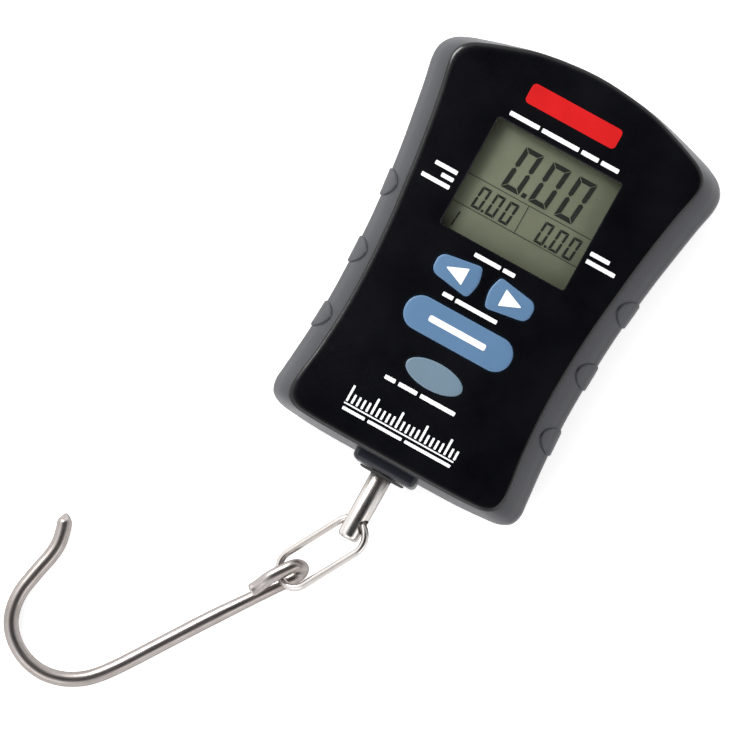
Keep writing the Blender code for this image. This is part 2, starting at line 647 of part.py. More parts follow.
BATTERY = [(0, 22.25), (1.9, 22.25), (1.9, 21.45), (4.9, 21.45), (5.25, 21.1), (5.25, -21.9), (4.9, -22.25), (0, -22.25)]
for i, (y, way) in enumerate(zip(BATTERY_Y, (-1, 1)), 1):
    cell = turned(f"battery_{i}", BATTERY, (1.95 * way, y, BATTERY_Z), "X", "cell", 20)
    cell.rotation_euler = (0, way * math.pi / 2, 0)

box("bridge_contact", (-24.9, 20.2, 4.4), (-24.5, 40.4, 13.4), "steel")
box("positive_contact", (24.5, BATTERY_Y[1] - 4.4, 4.4), (24.9, BATTERY_Y[1] + 4.4, 13.4), "steel")
box("negative_contact", (24.5, BATTERY_Y[0] - 4.4, 4.4), (24.9, BATTERY_Y[0] + 4.4, 13.4), "steel")


def contact_coil(x0, x1, y, turns=3.25, per_turn=12):
    count = int(turns * per_turn)
    made = []
    for i in range(count + 1):
        t = i / count
        angle, radius = 2 * math.pi * turns * t, 3.7 - 1.5 * t
        made.append((x1 + (x0 - x1) * t, y + radius * math.cos(angle), BATTERY_Z + radius * math.sin(angle)))
    return made


for i, (x0, x1, y) in enumerate([(20.95, 23.85, BATTERY_Y[0]), (-20.95, -23.85, BATTERY_Y[1])], 1):
    wire(f"contact_spring_{i}", contact_coil(x0, x1, y), 0.35, (x1, y, BATTERY_Z), "steel", 1)

# ---------------------------------------------------------------- leads
for name, y, finish in (("lead_negative", BATTERY_Y[0], "black"), ("lead_positive", BATTERY_Y[1], "red")):
    route = through([(25.25, y, 11.5), (26.6, y, 11.5), (27.6, y, 12.1), (27.75, y, 13.6), (27.6, y, PCB_BOTTOM - GAP)], 3)
    wire(name, route, 0.6, route[0], finish, 1)
route = through([(-10, -45.0, 12.5), (-10, -43.4, 12.6), (-10, -41.0, 13.2), (-10, -39.2, 14.3), (-10, -38.5, 15.3)], 3)
wire("load_cell_cable", route, 0.9, route[0], "nylon", 1)

# ---------------------------------------------------------------- battery door, turning on its own rounded edge
door_pivot = pivot("door_pivot", (0, DOOR_AXIS_Y, DOOR_AXIS_Z))
arc = [math.pi / 2 + math.pi * k / 8 for k in range(9)]
edge = [(DOOR_R * math.cos(a), DOOR_R * math.sin(a)) for a in arc]
reach = DOOR_FAR_Y - DOOR_AXIS_Y
bm = bmesh.new()
section = [*edge, (reach - 0.3, -DOOR_R), (reach, -DOOR_R + 0.3), (reach, DOOR_R)]
sides = [[bm.verts.new(Vector((x, y, z)) * MM) for y, z in section] for x in (-DOOR_HALF_X, DOOR_HALF_X)]
for i in range(len(section)):
    j = (i + 1) % len(section)
    bm.faces.new((sides[0][i], sides[0][j], sides[1][j], sides[1][i]))
bm.faces.new(sides[0])
bm.faces.new(sides[1])
battery_door = from_bmesh("battery_door", bm, (0, DOOR_AXIS_Y, DOOR_AXIS_Z), (0, 0, 0), "satin", door_pivot)
add(battery_door, cylinder("door_pins", 0.5, -29.2, 29.2, (0, DOOR_AXIS_Y, DOOR_AXIS_Z), "X", None, 12))

# ---------------------------------------------------------------- stem, turning in its bushing
stem_pivot = pivot("stem_pivot", (0, CROSS_HOLE_Y, STEM_Z))
top, shoulder, foot = (y - CROSS_HOLE_Y for y in (THREAD_END_Y, SHOULDER_Y, STEM_END_Y))
stem = turned(
    "stem",
    [
        (0, top), (THREAD_R - 0.4, top), (THREAD_R, top - 0.4), (THREAD_R, shoulder), (STEM_R - 0.4, shoulder),
        (STEM_R, shoulder - 0.4), (STEM_R, foot + 0.9), (STEM_R - 0.35, foot + 0.35), (STEM_R - 1.1, foot), (0, foot),
    ],
    (0, CROSS_HOLE_Y, STEM_Z),
    "Y",
    "polished",
    24,
    stem_pivot,
)
cross_hole = cylinder("cross_hole", CROSS_HOLE_R, -6, 6, (0, CROSS_HOLE_Y, STEM_Z), "X", None, 20)
cross_hole.rotation_euler = (0, math.pi / 2 - CROSS_HOLE_TILT, 0)
cut(stem, cross_hole)
nut = cylinder("stem_nut", 4.3, -44.4, -40.4, (0, 0, STEM_Z), "Y", "steel", 6, stem_pivot)
cut(nut, cylinder("nut_bore", THREAD_R + GAP, -46, -39, (0, 0, STEM_Z), "Y", None, 20))

# ---------------------------------------------------------------- link, swinging in the stem's cross hole
span = LINK_STRAIGHT + 2 * LINK_BEND_R
fall = LINK_DROP / span
level = math.sqrt(1 - fall * fall)
along = Vector((-math.sin(LINK_TURN) * level, -math.cos(LINK_TURN) * level, -fall))
flat = Vector((math.cos(LINK_TURN), -math.sin(LINK_TURN), 0))
up = flat.cross(along)
up = up if up.z > 0 else -up
across = flat * math.cos(LINK_ROLL) + up * math.sin(LINK_ROLL)
link_top = Vector(LINK_TOP)
near, far = link_top + along * LINK_BEND_R, link_top + along * (LINK_BEND_R + LINK_STRAIGHT)
loop = []
BEND_STEPS = 12
for k in range(BEND_STEPS + 1):
    a = -math.pi / 2 + math.pi * k / BEND_STEPS
    loop.append(near + LINK_BEND_R * (math.sin(a) * across - math.cos(a) * along))
for k in (1, 2):
    loop.append(near + LINK_BEND_R * across + along * LINK_STRAIGHT * k / 3)
for k in range(BEND_STEPS + 1):
    a = math.pi / 2 - math.pi * k / BEND_STEPS
    loop.append(far + LINK_BEND_R * (math.sin(a) * across + math.cos(a) * along))
for k in (1, 2):
    loop.append(far - LINK_BEND_R * across - along * LINK_STRAIGHT * k / 3)
link_pivot = pivot("link_pivot", (0, CROSS_HOLE_Y, STEM_Z), stem_pivot)
wire("link", loop, LINK_WIRE_R, (0, CROSS_HOLE_Y, STEM_Z), "polished", 2, cyclic=True, parent=link_pivot)

# ---------------------------------------------------------------- hook, swinging on the link's lower end
eye = link_top + along * span
shank = Vector((-math.sin(HOOK_TURN), -math.cos(HOOK_TURN), 0))
left = Vector((-math.cos(HOOK_TURN), math.sin(HOOK_TURN), 0))
rise = left * math.sin(EYE_TILT) + Vector((0, 0, math.cos(EYE_TILT)))
tail = [(9.4, 0.78), (7.6, 1.25), (5.8, 1.95), (4.0, 2.72), (2.2, 3.25), (0.4, EYE_R - 0.05)]
path = [eye + shank * s + rise * u for s, u in tail]
for k in range(11):
    a = math.pi / 2 + math.pi * k / 10
    path.append(eye - shank * EYE_SET + (shank * math.cos(a) + rise * math.sin(a)) * EYE_R)
base = eye - rise * EYE_R
drop = base.z - HOOK_WIRE_R
path.append(base)
path += through(
    [
        (base + shank * 4.0)[:],
        *[(*(eye + shank * s + left * q)[:2], base.z + (HOOK_FULL_R - HOOK_WIRE_R) * (s > 12)) for s, q in HOOK_STATIONS],
    ],
    2,
)
# The wire is drawn down a little at the eye and has its full thickness from the shank on.
radii = [1 + (HOOK_FULL_R / HOOK_WIRE_R - 1) * max(0.0, min(1.0, ((p - eye).dot(shank) - 11) / 12)) for p in path]
radii[-1], radii[-2] = 0.12, 0.8
hook_pivot = pivot("hook_pivot", eye[:], link_pivot)
wire("hook", path, HOOK_WIRE_R, eye[:], "steel", 2, radii=radii, parent=hook_pivot)
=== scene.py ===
"""The looks of the digital fish scale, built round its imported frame. Lengths are in millimetres until a mesh is made."""

import math

import bmesh
import bpy
from mathutils import Matrix, Vector


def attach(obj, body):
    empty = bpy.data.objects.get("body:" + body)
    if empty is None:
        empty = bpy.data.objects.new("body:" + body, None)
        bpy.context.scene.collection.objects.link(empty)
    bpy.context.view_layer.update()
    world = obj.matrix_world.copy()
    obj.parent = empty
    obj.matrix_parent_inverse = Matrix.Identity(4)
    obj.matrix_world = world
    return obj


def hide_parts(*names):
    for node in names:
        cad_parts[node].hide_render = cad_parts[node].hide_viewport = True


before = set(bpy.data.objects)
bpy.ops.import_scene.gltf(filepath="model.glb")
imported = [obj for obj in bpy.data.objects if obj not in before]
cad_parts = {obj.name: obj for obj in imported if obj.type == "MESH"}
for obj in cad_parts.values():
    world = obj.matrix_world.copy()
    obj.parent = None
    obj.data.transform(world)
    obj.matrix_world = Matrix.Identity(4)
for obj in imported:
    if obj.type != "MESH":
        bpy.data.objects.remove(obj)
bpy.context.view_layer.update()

MM = 0.001
GAP = 0.3

# ---------------------------------------------------------------- camera: a long lens, almost straight down
TARGET = Vector((0.0, -40.0, 12.0)) * MM
DISTANCE, ROLL, LEAN_X, LEAN_Y = 2.09032, 0.50555, 0.06312, -0.03477
SHIFT_RIGHT, SHIFT_UP, PX_PER_MM = -19.36823, 6.76303, 3.32605
view_dir = Vector((LEAN_X, LEAN_Y, 1.0)).normalized()
right0 = (Vector((1, 0, 0)) - view_dir * view_dir.x).normalized()
up0 = view_dir.cross(right0)
cam_right = right0 * math.cos(ROLL) + up0 * math.sin(ROLL)
cam_up = -right0 * math.sin(ROLL) + up0 * math.cos(ROLL)
cam_data = bpy.data.cameras.new("camera")
cam_data.sensor_fit = "HORIZONTAL"
cam_data.sensor_width = 36.0
cam_data.lens = PX_PER_MM * DISTANCE * 1000 / 732 * 36.0
cam_data.clip_start, cam_data.clip_end = 0.05, 20.0
camera = bpy.data.objects.new("camera", cam_data)
place = TARGET + view_dir * DISTANCE + (cam_right * SHIFT_RIGHT + cam_up * SHIFT_UP) * MM
camera.matrix_world = Matrix(
    [
        (cam_right.x, cam_up.x, view_dir.x, place.x),
        (cam_right.y, cam_up.y, view_dir.y, place.y),
        (cam_right.z, cam_up.z, view_dir.z, place.z),
        (0, 0, 0, 1),
    ]
)
bpy.context.scene.collection.objects.link(camera)
bpy.context.scene.camera = camera

# ---------------------------------------------------------------- lights, world, floor
bpy.context.scene.view_settings.view_transform = "Standard"
world = bpy.data.worlds.new("studio")
bpy.context.scene.world = world
world.use_nodes = True
wn, wl = world.node_tree.nodes, world.node_tree.links
wn.clear()
out = wn.new("ShaderNodeOutputWorld")
back = wn.new("ShaderNodeBackground")
coords = wn.new("ShaderNodeTexCoord")
split = wn.new("ShaderNodeSeparateXYZ")
ramp = wn.new("ShaderNodeValToRGB")
wl.new(split.outputs["Z"], ramp.inputs["Fac"])
wl.new(ramp.outputs["Color"], back.inputs["Color"])
wl.new(back.outputs[0], out.inputs["Surface"])
tilt = wn.new("ShaderNodeMapping")
tilt.vector_type = "VECTOR"
tilt.inputs["Rotation"].default_value = (math.radians(4), math.radians(-9), 0)
wl.new(coords.outputs["Generated"], tilt.inputs["Vector"])
wl.new(tilt.outputs[0], split.inputs[0])
ramp.color_ramp.elements[0].position = 0.0
ramp.color_ramp.elements[0].color = (0.6, 0.6, 0.62, 1)
ramp.color_ramp.elements[1].position = 0.88
ramp.color_ramp.elements[1].color = (0.012, 0.012, 0.014, 1)
for where, level in ((0.35, 0.9), (0.62, 0.85), (0.76, 0.35)):
    e = ramp.color_ramp.elements.new(where)
    e.color = (level, level, level * 1.01, 1)
side = wn.new("ShaderNodeMapRange")
side.inputs["From Min"].default_value = -1.0
side.inputs["From Max"].default_value = 1.0
side.inputs["To Min"].default_value = 2.05
side.inputs["To Max"].default_value = 1.3
wl.new(split.outputs["X"], side.inputs["Value"])
wl.new(side.outputs["Result"], back.inputs["Strength"])


def softbox(name, direction, distance, width, height, power, colour=(1, 1, 1)):
    data = bpy.data.lights.new(name, "AREA")
    data.shape = "RECTANGLE"
    data.size, data.size_y = width, height
    data.energy = power
    data.color = colour
    lamp = bpy.data.objects.new(name, data)
    d = Vector(direction).normalized()
    middle = Vector((-0.015, -0.05, 0.0))
    lamp.location = middle + d * distance
    lamp.rotation_euler = d.to_track_quat("Z", "Y").to_euler()
    bpy.context.scene.collection.objects.link(lamp)
    return lamp


softbox("key_light", (-0.92, 0.42, 0.72), 1.1, 0.45, 0.4, 11.0, (1.0, 0.995, 0.98))
softbox("fill_light", (0.95, -0.35, 0.6), 1.2, 0.9, 0.5, 2.5, (1.0, 0.955, 0.93))
softbox("foot_light", (-0.15, -1.0, 0.55), 1.2, 0.8, 0.4, 2.0, (1.0, 0.98, 0.96))

# ---------------------------------------------------------------- materials


def shader_of(name):
    made = bpy.data.materials.new(name)
    made.use_nodes = True
    nodes, links = made.node_tree.nodes, made.node_tree.links
    return made, nodes, links, nodes["Principled BSDF"]


def noise(nodes, links, vector, scale, detail=3.0, rough=0.55):
    made = nodes.new("ShaderNodeTexNoise")
    made.inputs["Scale"].default_value = scale
    made.inputs["Detail"].default_value = detail
    made.inputs["Roughness"].default_value = rough
    links.new(vector, made.inputs["Vector"])
    return made.outputs["Fac"]


def ramp_between(nodes, links, value, low, high, a, b):
    made = nodes.new("ShaderNodeMapRange")
    made.inputs["From Min"].default_value = low
    made.inputs["From Max"].default_value = high
    made.inputs["To Min"].default_value = a
    made.inputs["To Max"].default_value = b
    links.new(value, made.inputs["Value"])
    return made.outputs["Result"]


def mix_colour(nodes, links, factor, a, b):
    made = nodes.new("ShaderNodeMix")
    made.data_type = "RGBA"
    made.inputs["A"].default_value = (*a, 1)
    made.inputs["B"].default_value = (*b, 1)
    links.new(factor, made.inputs["Factor"])
    return made.outputs["Result"]


def moulded(
    name, colour, rough=0.45, grain=0.35, depth=0.02, variation=0.12, metal=0.0, coat=0.0, specular=0.5, edge_highlight=0.0, spread=0.08
):
    """A moulded or painted surface: fine grain in its height, slow drift in its colour and gloss, and sharp edges
    lightened as a painted highlight.
    """
    made, nodes, links, shader = shader_of(name)
    at = nodes.new("ShaderNodeTexCoord").outputs["Object"]
    slow = noise(nodes, links, at, 55.0, 4.0)
    fine = noise(nodes, links, at, 1000.0 / grain, 2.0, 0.6)
    tone = ramp_between(nodes, links, slow, 0.3, 0.7, 0.0, 1.0)
    darker = tuple(c * (1 - variation) for c in colour)
    lighter = tuple(min(1.0, c * (1 + variation) + 0.002) for c in colour)
    mixed = mix_colour(nodes, links, tone, darker, lighter)
    # Sharp edges, picked out by pointiness, are lightened: a painted edge highlight.
    if edge_highlight:
        geometry = nodes.new("ShaderNodeNewGeometry")
        edge_highlight_mask = ramp_between(nodes, links, geometry.outputs["Pointiness"], 0.52, 0.6, 0.0, edge_highlight)
        blend = nodes.new("ShaderNodeMix")
        blend.data_type = "RGBA"
        links.new(edge_highlight_mask, blend.inputs["Factor"])
        links.new(mixed, blend.inputs["A"])
        blend.inputs["B"].default_value = (*[min(1.0, c * 2.2 + 0.03) for c in colour], 1)
        mixed = blend.outputs["Result"]
    links.new(mixed, shader.inputs["Base Color"])
    links.new(
        ramp_between(nodes, links, fine, 0.3, 0.7, max(0.02, rough - spread), min(1.0, rough + spread)),
        shader.inputs["Roughness"],
    )
    shader.inputs["Metallic"].default_value = metal
    shader.inputs["Specular IOR Level"].default_value = specular
    if coat:
        shader.inputs["Coat Weight"].default_value = coat
        shader.inputs["Coat Roughness"].default_value = 0.08
    bump = nodes.new("ShaderNodeBump")
    bump.inputs["Strength"].default_value = 0.6
    bump.inputs["Distance"].default_value = depth * MM
    links.new(fine, bump.inputs["Height"])
    links.new(bump.outputs["Normal"], shader.inputs["Normal"])
    return made


def drawn_steel(name, colour, rough, streak, stains):
    """Drawn or polished stainless: fine lines along the wire, faint stains and tiny pits."""
    made, nodes, links, shader = shader_of(name)
    lay = nodes.new("ShaderNodeAttribute")
    lay.attribute_name = "lay"
    at = nodes.new("ShaderNodeTexCoord").outputs["Object"]
    lines = noise(nodes, links, lay.outputs["Vector"], 1.0, 4.0, 0.7)
    spots = noise(nodes, links, at, 900.0, 3.0, 0.6)
    slow = noise(nodes, links, at, 90.0, 4.0, 0.6)
    tone = ramp_between(nodes, links, slow, 0.35, 0.7, 0.0, 1.0)
    links.new(
        mix_colour(nodes, links, tone, colour, tuple(c * k for c, k in zip(colour, (1 - stains, 1 - stains * 1.15, 1 - stains * 1.3)))),
        shader.inputs["Base Color"],
    )
    shader.inputs["Metallic"].default_value = 1.0
    shader.inputs["Specular Tint"].default_value = (0.45, 0.44, 0.44, 1)
    add = nodes.new("ShaderNodeMath")
    add.operation = "ADD"
    links.new(ramp_between(nodes, links, lines, 0.3, 0.7, rough * 0.6, rough * 1.35), add.inputs[0])
    links.new(ramp_between(nodes, links, slow, 0.3, 0.8, 0.0, 0.07), add.inputs[1])
    links.new(add.outputs[0], shader.inputs["Roughness"])
    both = nodes.new("ShaderNodeMath")
    both.operation = "MULTIPLY_ADD"
    links.new(spots, both.inputs[0])
    both.inputs[1].default_value = 0.35
    links.new(lines, both.inputs[2])
    bump = nodes.new("ShaderNodeBump")
    bump.inputs["Strength"].default_value = streak
    bump.inputs["Distance"].default_value = 0.02 * MM
    links.new(both.outputs[0], bump.inputs["Height"])
    links.new(bump.outputs["Normal"], shader.inputs["Normal"])
    return made


def clear_window(name):
    """A clear moulded lens: light passes straight through it, and its surface only adds gloss."""
    made, nodes, links, shader = shader_of(name)
    at = nodes.new("ShaderNodeTexCoord").outputs["Object"]
    shader.inputs["Base Color"].default_value = (0.02, 0.02, 0.02, 1)
    links.new(ramp_between(nodes, links, noise(nodes, links, at, 400.0), 0.3, 0.7, 0.04, 0.09), shader.inputs["Roughness"])
    shader.inputs["Alpha"].default_value = 0.1
    return made


def lcd_face(name):
    """The display's grey-green reflective back, a little mottled."""
    made, nodes, links, shader = shader_of(name)
    at = nodes.new("ShaderNodeTexCoord").outputs["Object"]
    tone = ramp_between(nodes, links, noise(nodes, links, at, 60.0, 3.0), 0.3, 0.7, 0.0, 1.0)
    links.new(mix_colour(nodes, links, tone, (0.165, 0.181, 0.121), (0.197, 0.216, 0.147)), shader.inputs["Base Color"])
    fine = noise(nodes, links, at, 4000.0, 2.0)
    links.new(ramp_between(nodes, links, fine, 0.3, 0.7, 0.35, 0.5), shader.inputs["Roughness"])
    shader.inputs["Specular IOR Level"].default_value = 0.25
    return made


# The shell's sharp edges get a painted highlight, lighter than the rest of the shell.
SATIN = moulded("satin_shell", (0.0085, 0.0095, 0.0155), 0.4, 0.28, 0.02, 0.08, specular=0.33, edge_highlight=0.2, spread=0.05)
FACE = moulded("gloss_face", (0.0018, 0.0019, 0.003), 0.2, 0.6, 0.003, 0.2, specular=0.32, spread=0.04)
KEY_BLUE = moulded("key_blue", (0.082, 0.167, 0.292), 0.42, 0.3, 0.012, 0.05)
KEY_PALE = moulded("key_pale", (0.132, 0.195, 0.252), 0.35, 0.9, 0.003, 0.05)
INK = moulded("white_ink", (0.83, 0.84, 0.86), 0.5, 0.15, 0.01, 0.04)
RED_INK = moulded("red_ink", (0.5, 0.002, 0.003), 0.6, 0.15, 0.01, 0.08, specular=0.2)
LCD = lcd_face("lcd_back")
SEGMENT = moulded("lcd_segment", (0.006, 0.009, 0.005), 0.45, 0.2, 0.004, 0.15)
LCD_LINE = moulded("lcd_line", (0.012, 0.016, 0.01), 0.5, 0.2, 0.004, 0.15)
WINDOW_CLEAR = clear_window("window_clear")
RUBBER = moulded("seal_rubber", (0.012, 0.012, 0.013), 0.75, 0.4, 0.03, 0.2)
STEM_STEEL = drawn_steel("stem_steel", (0.56, 0.535, 0.515), 0.24, 0.25, 0.12)
LINK_STEEL = drawn_steel("link_steel", (0.53, 0.505, 0.485), 0.24, 0.3, 0.12)
HOOK_STEEL = drawn_steel("hook_steel", (0.34, 0.315, 0.305), 0.31, 0.5, 0.2)
ZINC = moulded("zinc_steel", (0.5, 0.5, 0.5), 0.32, 0.2, 0.02, 0.15, metal=1.0)
DARK_SCREW = moulded("black_screw", (0.06, 0.06, 0.065), 0.35, 0.2, 0.02, 0.2, metal=1.0)
BOARD = moulded("solder_mask", (0.012, 0.12, 0.04), 0.35, 0.5, 0.02, 0.25, coat=0.3)
EPOXY = moulded("black_epoxy", (0.012, 0.012, 0.013), 0.4, 0.4, 0.03, 0.2)
ALLOY = moulded("milled_alloy", (0.62, 0.63, 0.64), 0.35, 0.25, 0.03, 0.08, metal=1.0)
NICKEL = moulded("nickel_spring", (0.66, 0.64, 0.6), 0.25, 0.2, 0.01, 0.1, metal=1.0)
CELL = moulded("cell_sleeve", (0.03, 0.1, 0.26), 0.3, 0.4, 0.01, 0.1, coat=0.5)
WHITE = moulded("white_moulding", (0.72, 0.72, 0.69), 0.5, 0.3, 0.02, 0.05)
NATURAL = moulded("natural_acetal", (0.7, 0.68, 0.62), 0.5, 0.3, 0.02, 0.05)
FILM = moulded("gauge_film", (0.5, 0.28, 0.06), 0.4, 0.3, 0.02, 0.3)
PINK = moulded("zebra_rubber", (0.6, 0.3, 0.28), 0.6, 0.3, 0.02, 0.2)
RED_LEAD = moulded("red_insulation", (0.5, 0.015, 0.015), 0.45, 0.3, 0.01, 0.1)
BLACK_LEAD = moulded("black_insulation", (0.012, 0.012, 0.013), 0.45, 0.3, 0.01, 0.2)
WHITE_LEAD = moulded("white_insulation", (0.7, 0.69, 0.66), 0.45, 0.3, 0.01, 0.05)

# ---------------------------------------------------------------- mesh helpers
AXES = {"X": (0, math.pi / 2, 0), "Y": (-math.pi / 2, 0, 0), "Z": (0, 0, 0)}


def finish(name, bm, matter, body=None, slot=None, angle=35, nodes=()):
    bmesh.ops.recalc_face_normals(bm, faces=bm.faces)
    mesh = bpy.data.meshes.new(name)
    bm.to_mesh(mesh)
    bm.free()
    mesh.shade_smooth()
    mesh.set_sharp_from_angle(angle=math.radians(angle))
    obj = bpy.data.objects.new(name, mesh)
    bpy.context.scene.collection.objects.link(obj)
    if matter is not None:
        mesh.materials.append(matter)
    if body:
        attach(obj, body)
    if nodes:
        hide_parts(*nodes)
    return obj


def skin(bm, rings, cap_start=True, cap_end=True):
    """Quads between rings of (x, y, z) points, which share their count."""
    made = [[bm.verts.new(Vector(p) * MM) for p in ring] for ring in rings]
    for a, b in zip(made, made[1:]):
        for i in range(len(a)):
            j = (i + 1) % len(a)
            bm.faces.new((a[i], a[j], b[j], b[i]))
    if cap_start:
        bm.faces.new(made[0])
    if cap_end:
        bm.faces.new(made[-1])
    return made


def solid(name, rings, matter, **more):
    bm = bmesh.new()
    skin(bm, rings)
    return finish(name, bm, matter, **more)


def carve(obj, cutters, operation="DIFFERENCE", angle=35):
    """Joins or cuts, keeps the result as plain mesh, and clears the helpers away."""
    for i, other in enumerate(cutters):
        cut = obj.modifiers.new(f"cut_{i}", "BOOLEAN")
        cut.operation = operation
        cut.solver = "EXACT"
        cut.object = other
    bpy.context.view_layer.update()
    graph = bpy.context.evaluated_depsgraph_get()
    mesh = bpy.data.meshes.new_from_object(obj.evaluated_get(graph))
    kept = list(obj.data.materials)
    obj.modifiers.clear()
    obj.data = mesh
    while len(mesh.materials) > 1:
        mesh.materials.pop()
    for face in mesh.polygons:
        face.material_index = 0
    if kept and not len(mesh.materials):
        mesh.materials.append(kept[0])
    mesh.shade_smooth()
    mesh.set_sharp_from_angle(angle=math.radians(angle))
    for other in cutters:
        bpy.data.objects.remove(other, do_unlink=True)
    return obj


def through(stations, steps, closed=False):
    """A centripetal curve through the stations: no overshoot where they lie close together."""
    pts = [Vector(p) for p in stations]
    n = len(pts)
    made = []
    for i in range(n if closed else n - 1):
        if closed:
            quad = [pts[(i + k) % n] for k in (-1, 0, 1, 2)]
        else:
            ends = [2 * pts[0] - pts[1], *pts, 2 * pts[-1] - pts[-2]]
            quad = ends[i : i + 4]
        knots = [0.0]
        for a, b in zip(quad, quad[1:]):
            knots.append(knots[-1] + max((b - a).length, 1e-6) ** 0.5)
        t0, t1, t2, t3 = knots
        for k in range(steps):
            t = t1 + (t2 - t1) * k / steps
            a1 = quad[0] * ((t1 - t) / (t1 - t0)) + quad[1] * ((t - t0) / (t1 - t0))
            a2 = quad[1] * ((t2 - t) / (t2 - t1)) + quad[2] * ((t - t1) / (t2 - t1))
            a3 = quad[2] * ((t3 - t) / (t3 - t2)) + quad[3] * ((t - t2) / (t3 - t2))
            b1 = a1 * ((t2 - t) / (t2 - t0)) + a2 * ((t - t0) / (t2 - t0))
            b2 = a2 * ((t3 - t) / (t3 - t1)) + a3 * ((t - t1) / (t3 - t1))
            made.append(b1 * ((t2 - t) / (t2 - t1)) + b2 * ((t - t1) / (t2 - t1)))
    if not closed:
        made.append(pts[-1])
    return made


def prism(name, loop, low, high, matter=None, chamfer=0.0, **more):
    """A flat outline with thickness; its chamfer argument is not used."""
    rings = [[(x, y, low) for x, y in loop], [(x, y, high) for x, y in loop]]
    return solid(name, rings, matter, **more)


def block(name, low, high, matter=None, bevel=0.0, segments=3, **more):
    bm = bmesh.new()
    size = [(b - a) * MM for a, b in zip(low, high)]
    bmesh.ops.create_cube(bm, size=1.0, matrix=Matrix.Diagonal((*size, 1)))
    bmesh.ops.translate(bm, verts=bm.verts, vec=Vector([(a + b) / 2 for a, b in zip(low, high)]) * MM)
    if bevel:
        bmesh.ops.bevel(bm, geom=list(bm.edges), offset=bevel * MM, segments=segments, profile=0.5, affect="EDGES")
    return finish(name, bm, matter, **more)


def turned(name, profile, centre, axis, matter=None, steps=64, turn=None, **more):
    """A profile of (radius, height) turned about an axis; a radius of 0 closes an end."""
    bm = bmesh.new()
    spin = Matrix.Translation(Vector(centre) * MM) @ (turn or (Matrix.Rotation(AXES[axis][0], 4, "X") @ Matrix.Rotation(AXES[axis][1], 4, "Y")))
    rings = []
    for r, h in profile:
        if r <= 1e-9:
            rings.append([bm.verts.new(spin @ (Vector((0, 0, h)) * MM))])
        else:
            rings.append(
                [
                    bm.verts.new(spin @ (Vector((r * math.cos(2 * math.pi * k / steps), r * math.sin(2 * math.pi * k / steps), h)) * MM))
                    for k in range(steps)
                ]
            )
    for a, b in zip(rings, rings[1:]):
        for k in range(steps):
            j = (k + 1) % steps
            corners = [a[k % len(a)], a[j % len(a)], b[j % len(b)], b[k % len(b)]]
            bm.faces.new([c for i, c in enumerate(corners) if c not in corners[:i]])
    closed_loop = len(rings[0]) > 1 and len(rings[-1]) > 1
    if closed_loop:
        a, b = rings[-1], rings[0]
        for k in range(steps):
            j = (k + 1) % steps
            bm.faces.new((a[k], a[j], b[j], b[k]))
    return finish(name, bm, matter, **more)


def sweep(name, points, radius, matter, sides=28, closed=False, radii=None, squares=None, cap_round=0.0, lay_along=0.12, lay_round=26.0, start_normal=None, **more):
    """A round wire along the points, carried without twist, with a lay attribute for lines that run along it."""
    pts = [Vector(p) for p in points]
    n = len(pts)
    tangents = []
    for i in range(n):
        a = pts[(i - 1) % n] if closed or i > 0 else pts[0]
        b = pts[(i + 1) % n] if closed or i < n - 1 else pts[-1]
        tangents.append((b - a).normalized())
    normal = Vector(start_normal) if start_normal else tangents[0].orthogonal()
    normal = (normal - tangents[0] * normal.dot(tangents[0])).normalized()
    frames = []
    for t in tangents:
        normal = (normal - t * normal.dot(t)).normalized()
        frames.append((normal.copy(), t.cross(normal)))
    bm = bmesh.new()
    lay = bm.verts.layers.float_vector.new("lay")
    rings, along = [], 0.0
    for i, (p, (u, v)) in enumerate(zip(pts, frames)):
        if i:
            along += (p - pts[i - 1]).length
        scale = radii[i] if radii else 1.0
        square = squares[i] if squares else 0.0
        ring = []
        for k in range(sides):
            a = 2 * math.pi * k / sides
            c, s = math.cos(a), math.sin(a)
            flat = 1.0 / max(abs(c) + abs(s), 1e-6)
            r = radius * scale * ((1 - square) + square * flat * 1.2)
            vert = bm.verts.new((p + u * (c * r) + v * (s * r)) * MM)
            vert[lay] = (c * lay_round, s * lay_round, along * lay_along)
            ring.append(vert)
        rings.append(ring)
    last = n if closed else n - 1
    for i in range(last):
        a, b = rings[i], rings[(i + 1) % n]
        for k in range(sides):
            j = (k + 1) % sides
            bm.faces.new((a[k], a[j], b[j], b[k]))
    if not closed:
        bm.faces.new(rings[0])
        bm.faces.new(rings[-1])
    return finish(name, bm, matter, **more)


# ---------------------------------------------------------------- the case
OUTLINE = [
    (0, 66.6), (10.5, 65.9), (20.4, 64.5), (29.0, 62.4), (36.1, 60.3), (41.8, 58.4), (45.7, 56.2), (48.1, 52.9),
    (48.6, 49.0), (47.0, 40.5), (45.2, 30.0), (43.6, 20.0), (42.2, 9.0), (41.1, -2.0), (40.4, -16.0), (40.2, -30.0),
    (41.0, -45.0), (42.0, -56.0), (42.3, -60.3), (41.2, -63.6), (38.1, -65.6), (31.5, -66.5), (22.8, -67.0), (0, -67.1),
]
SEAM = [
    (0, 65.7), (10.3, 65.0), (20.0, 63.4), (28.0, 60.9), (34.0, 58.7), (38.6, 56.6), (41.2, 54.3), (42.4, 51.6),
    (42.5, 48.6), (40.8, 40.0), (39.05, 30.0), (37.6, 20.0), (36.3, 9.0), (35.1, -2.0), (34.2, -16.0), (34.0, -30.0),
    (34.9, -45.0), (36.3, -56.0), (36.4, -59.6), (35.3, -62.8), (32.4, -64.7), (27.0, -65.4), (20.0, -65.6), (0, -65.7),
]
HALF_W, HALF_L, WALL = 45.0, 67.0, 3.0
FINE = 6


def whole(half):
    loop = [*half, *[(-x, y) for x, y in reversed(half[1:-1])]]
    return [(p.x, p.y) for p in through([(x, y, 0) for x, y in loop], FINE, closed=True)]


WIDE, NARROW = whole(OUTLINE), whole(SEAM)


def between(t, dx, dy, z):
    made = []
    for a, b in zip(WIDE, NARROW):
        x, y = (1 - t) * a[0] + t * b[0], (1 - t) * a[1] + t * b[1]
        made.append((x * (1 - dx / HALF_W), y * (1 - dy / HALF_L), z))
    return made


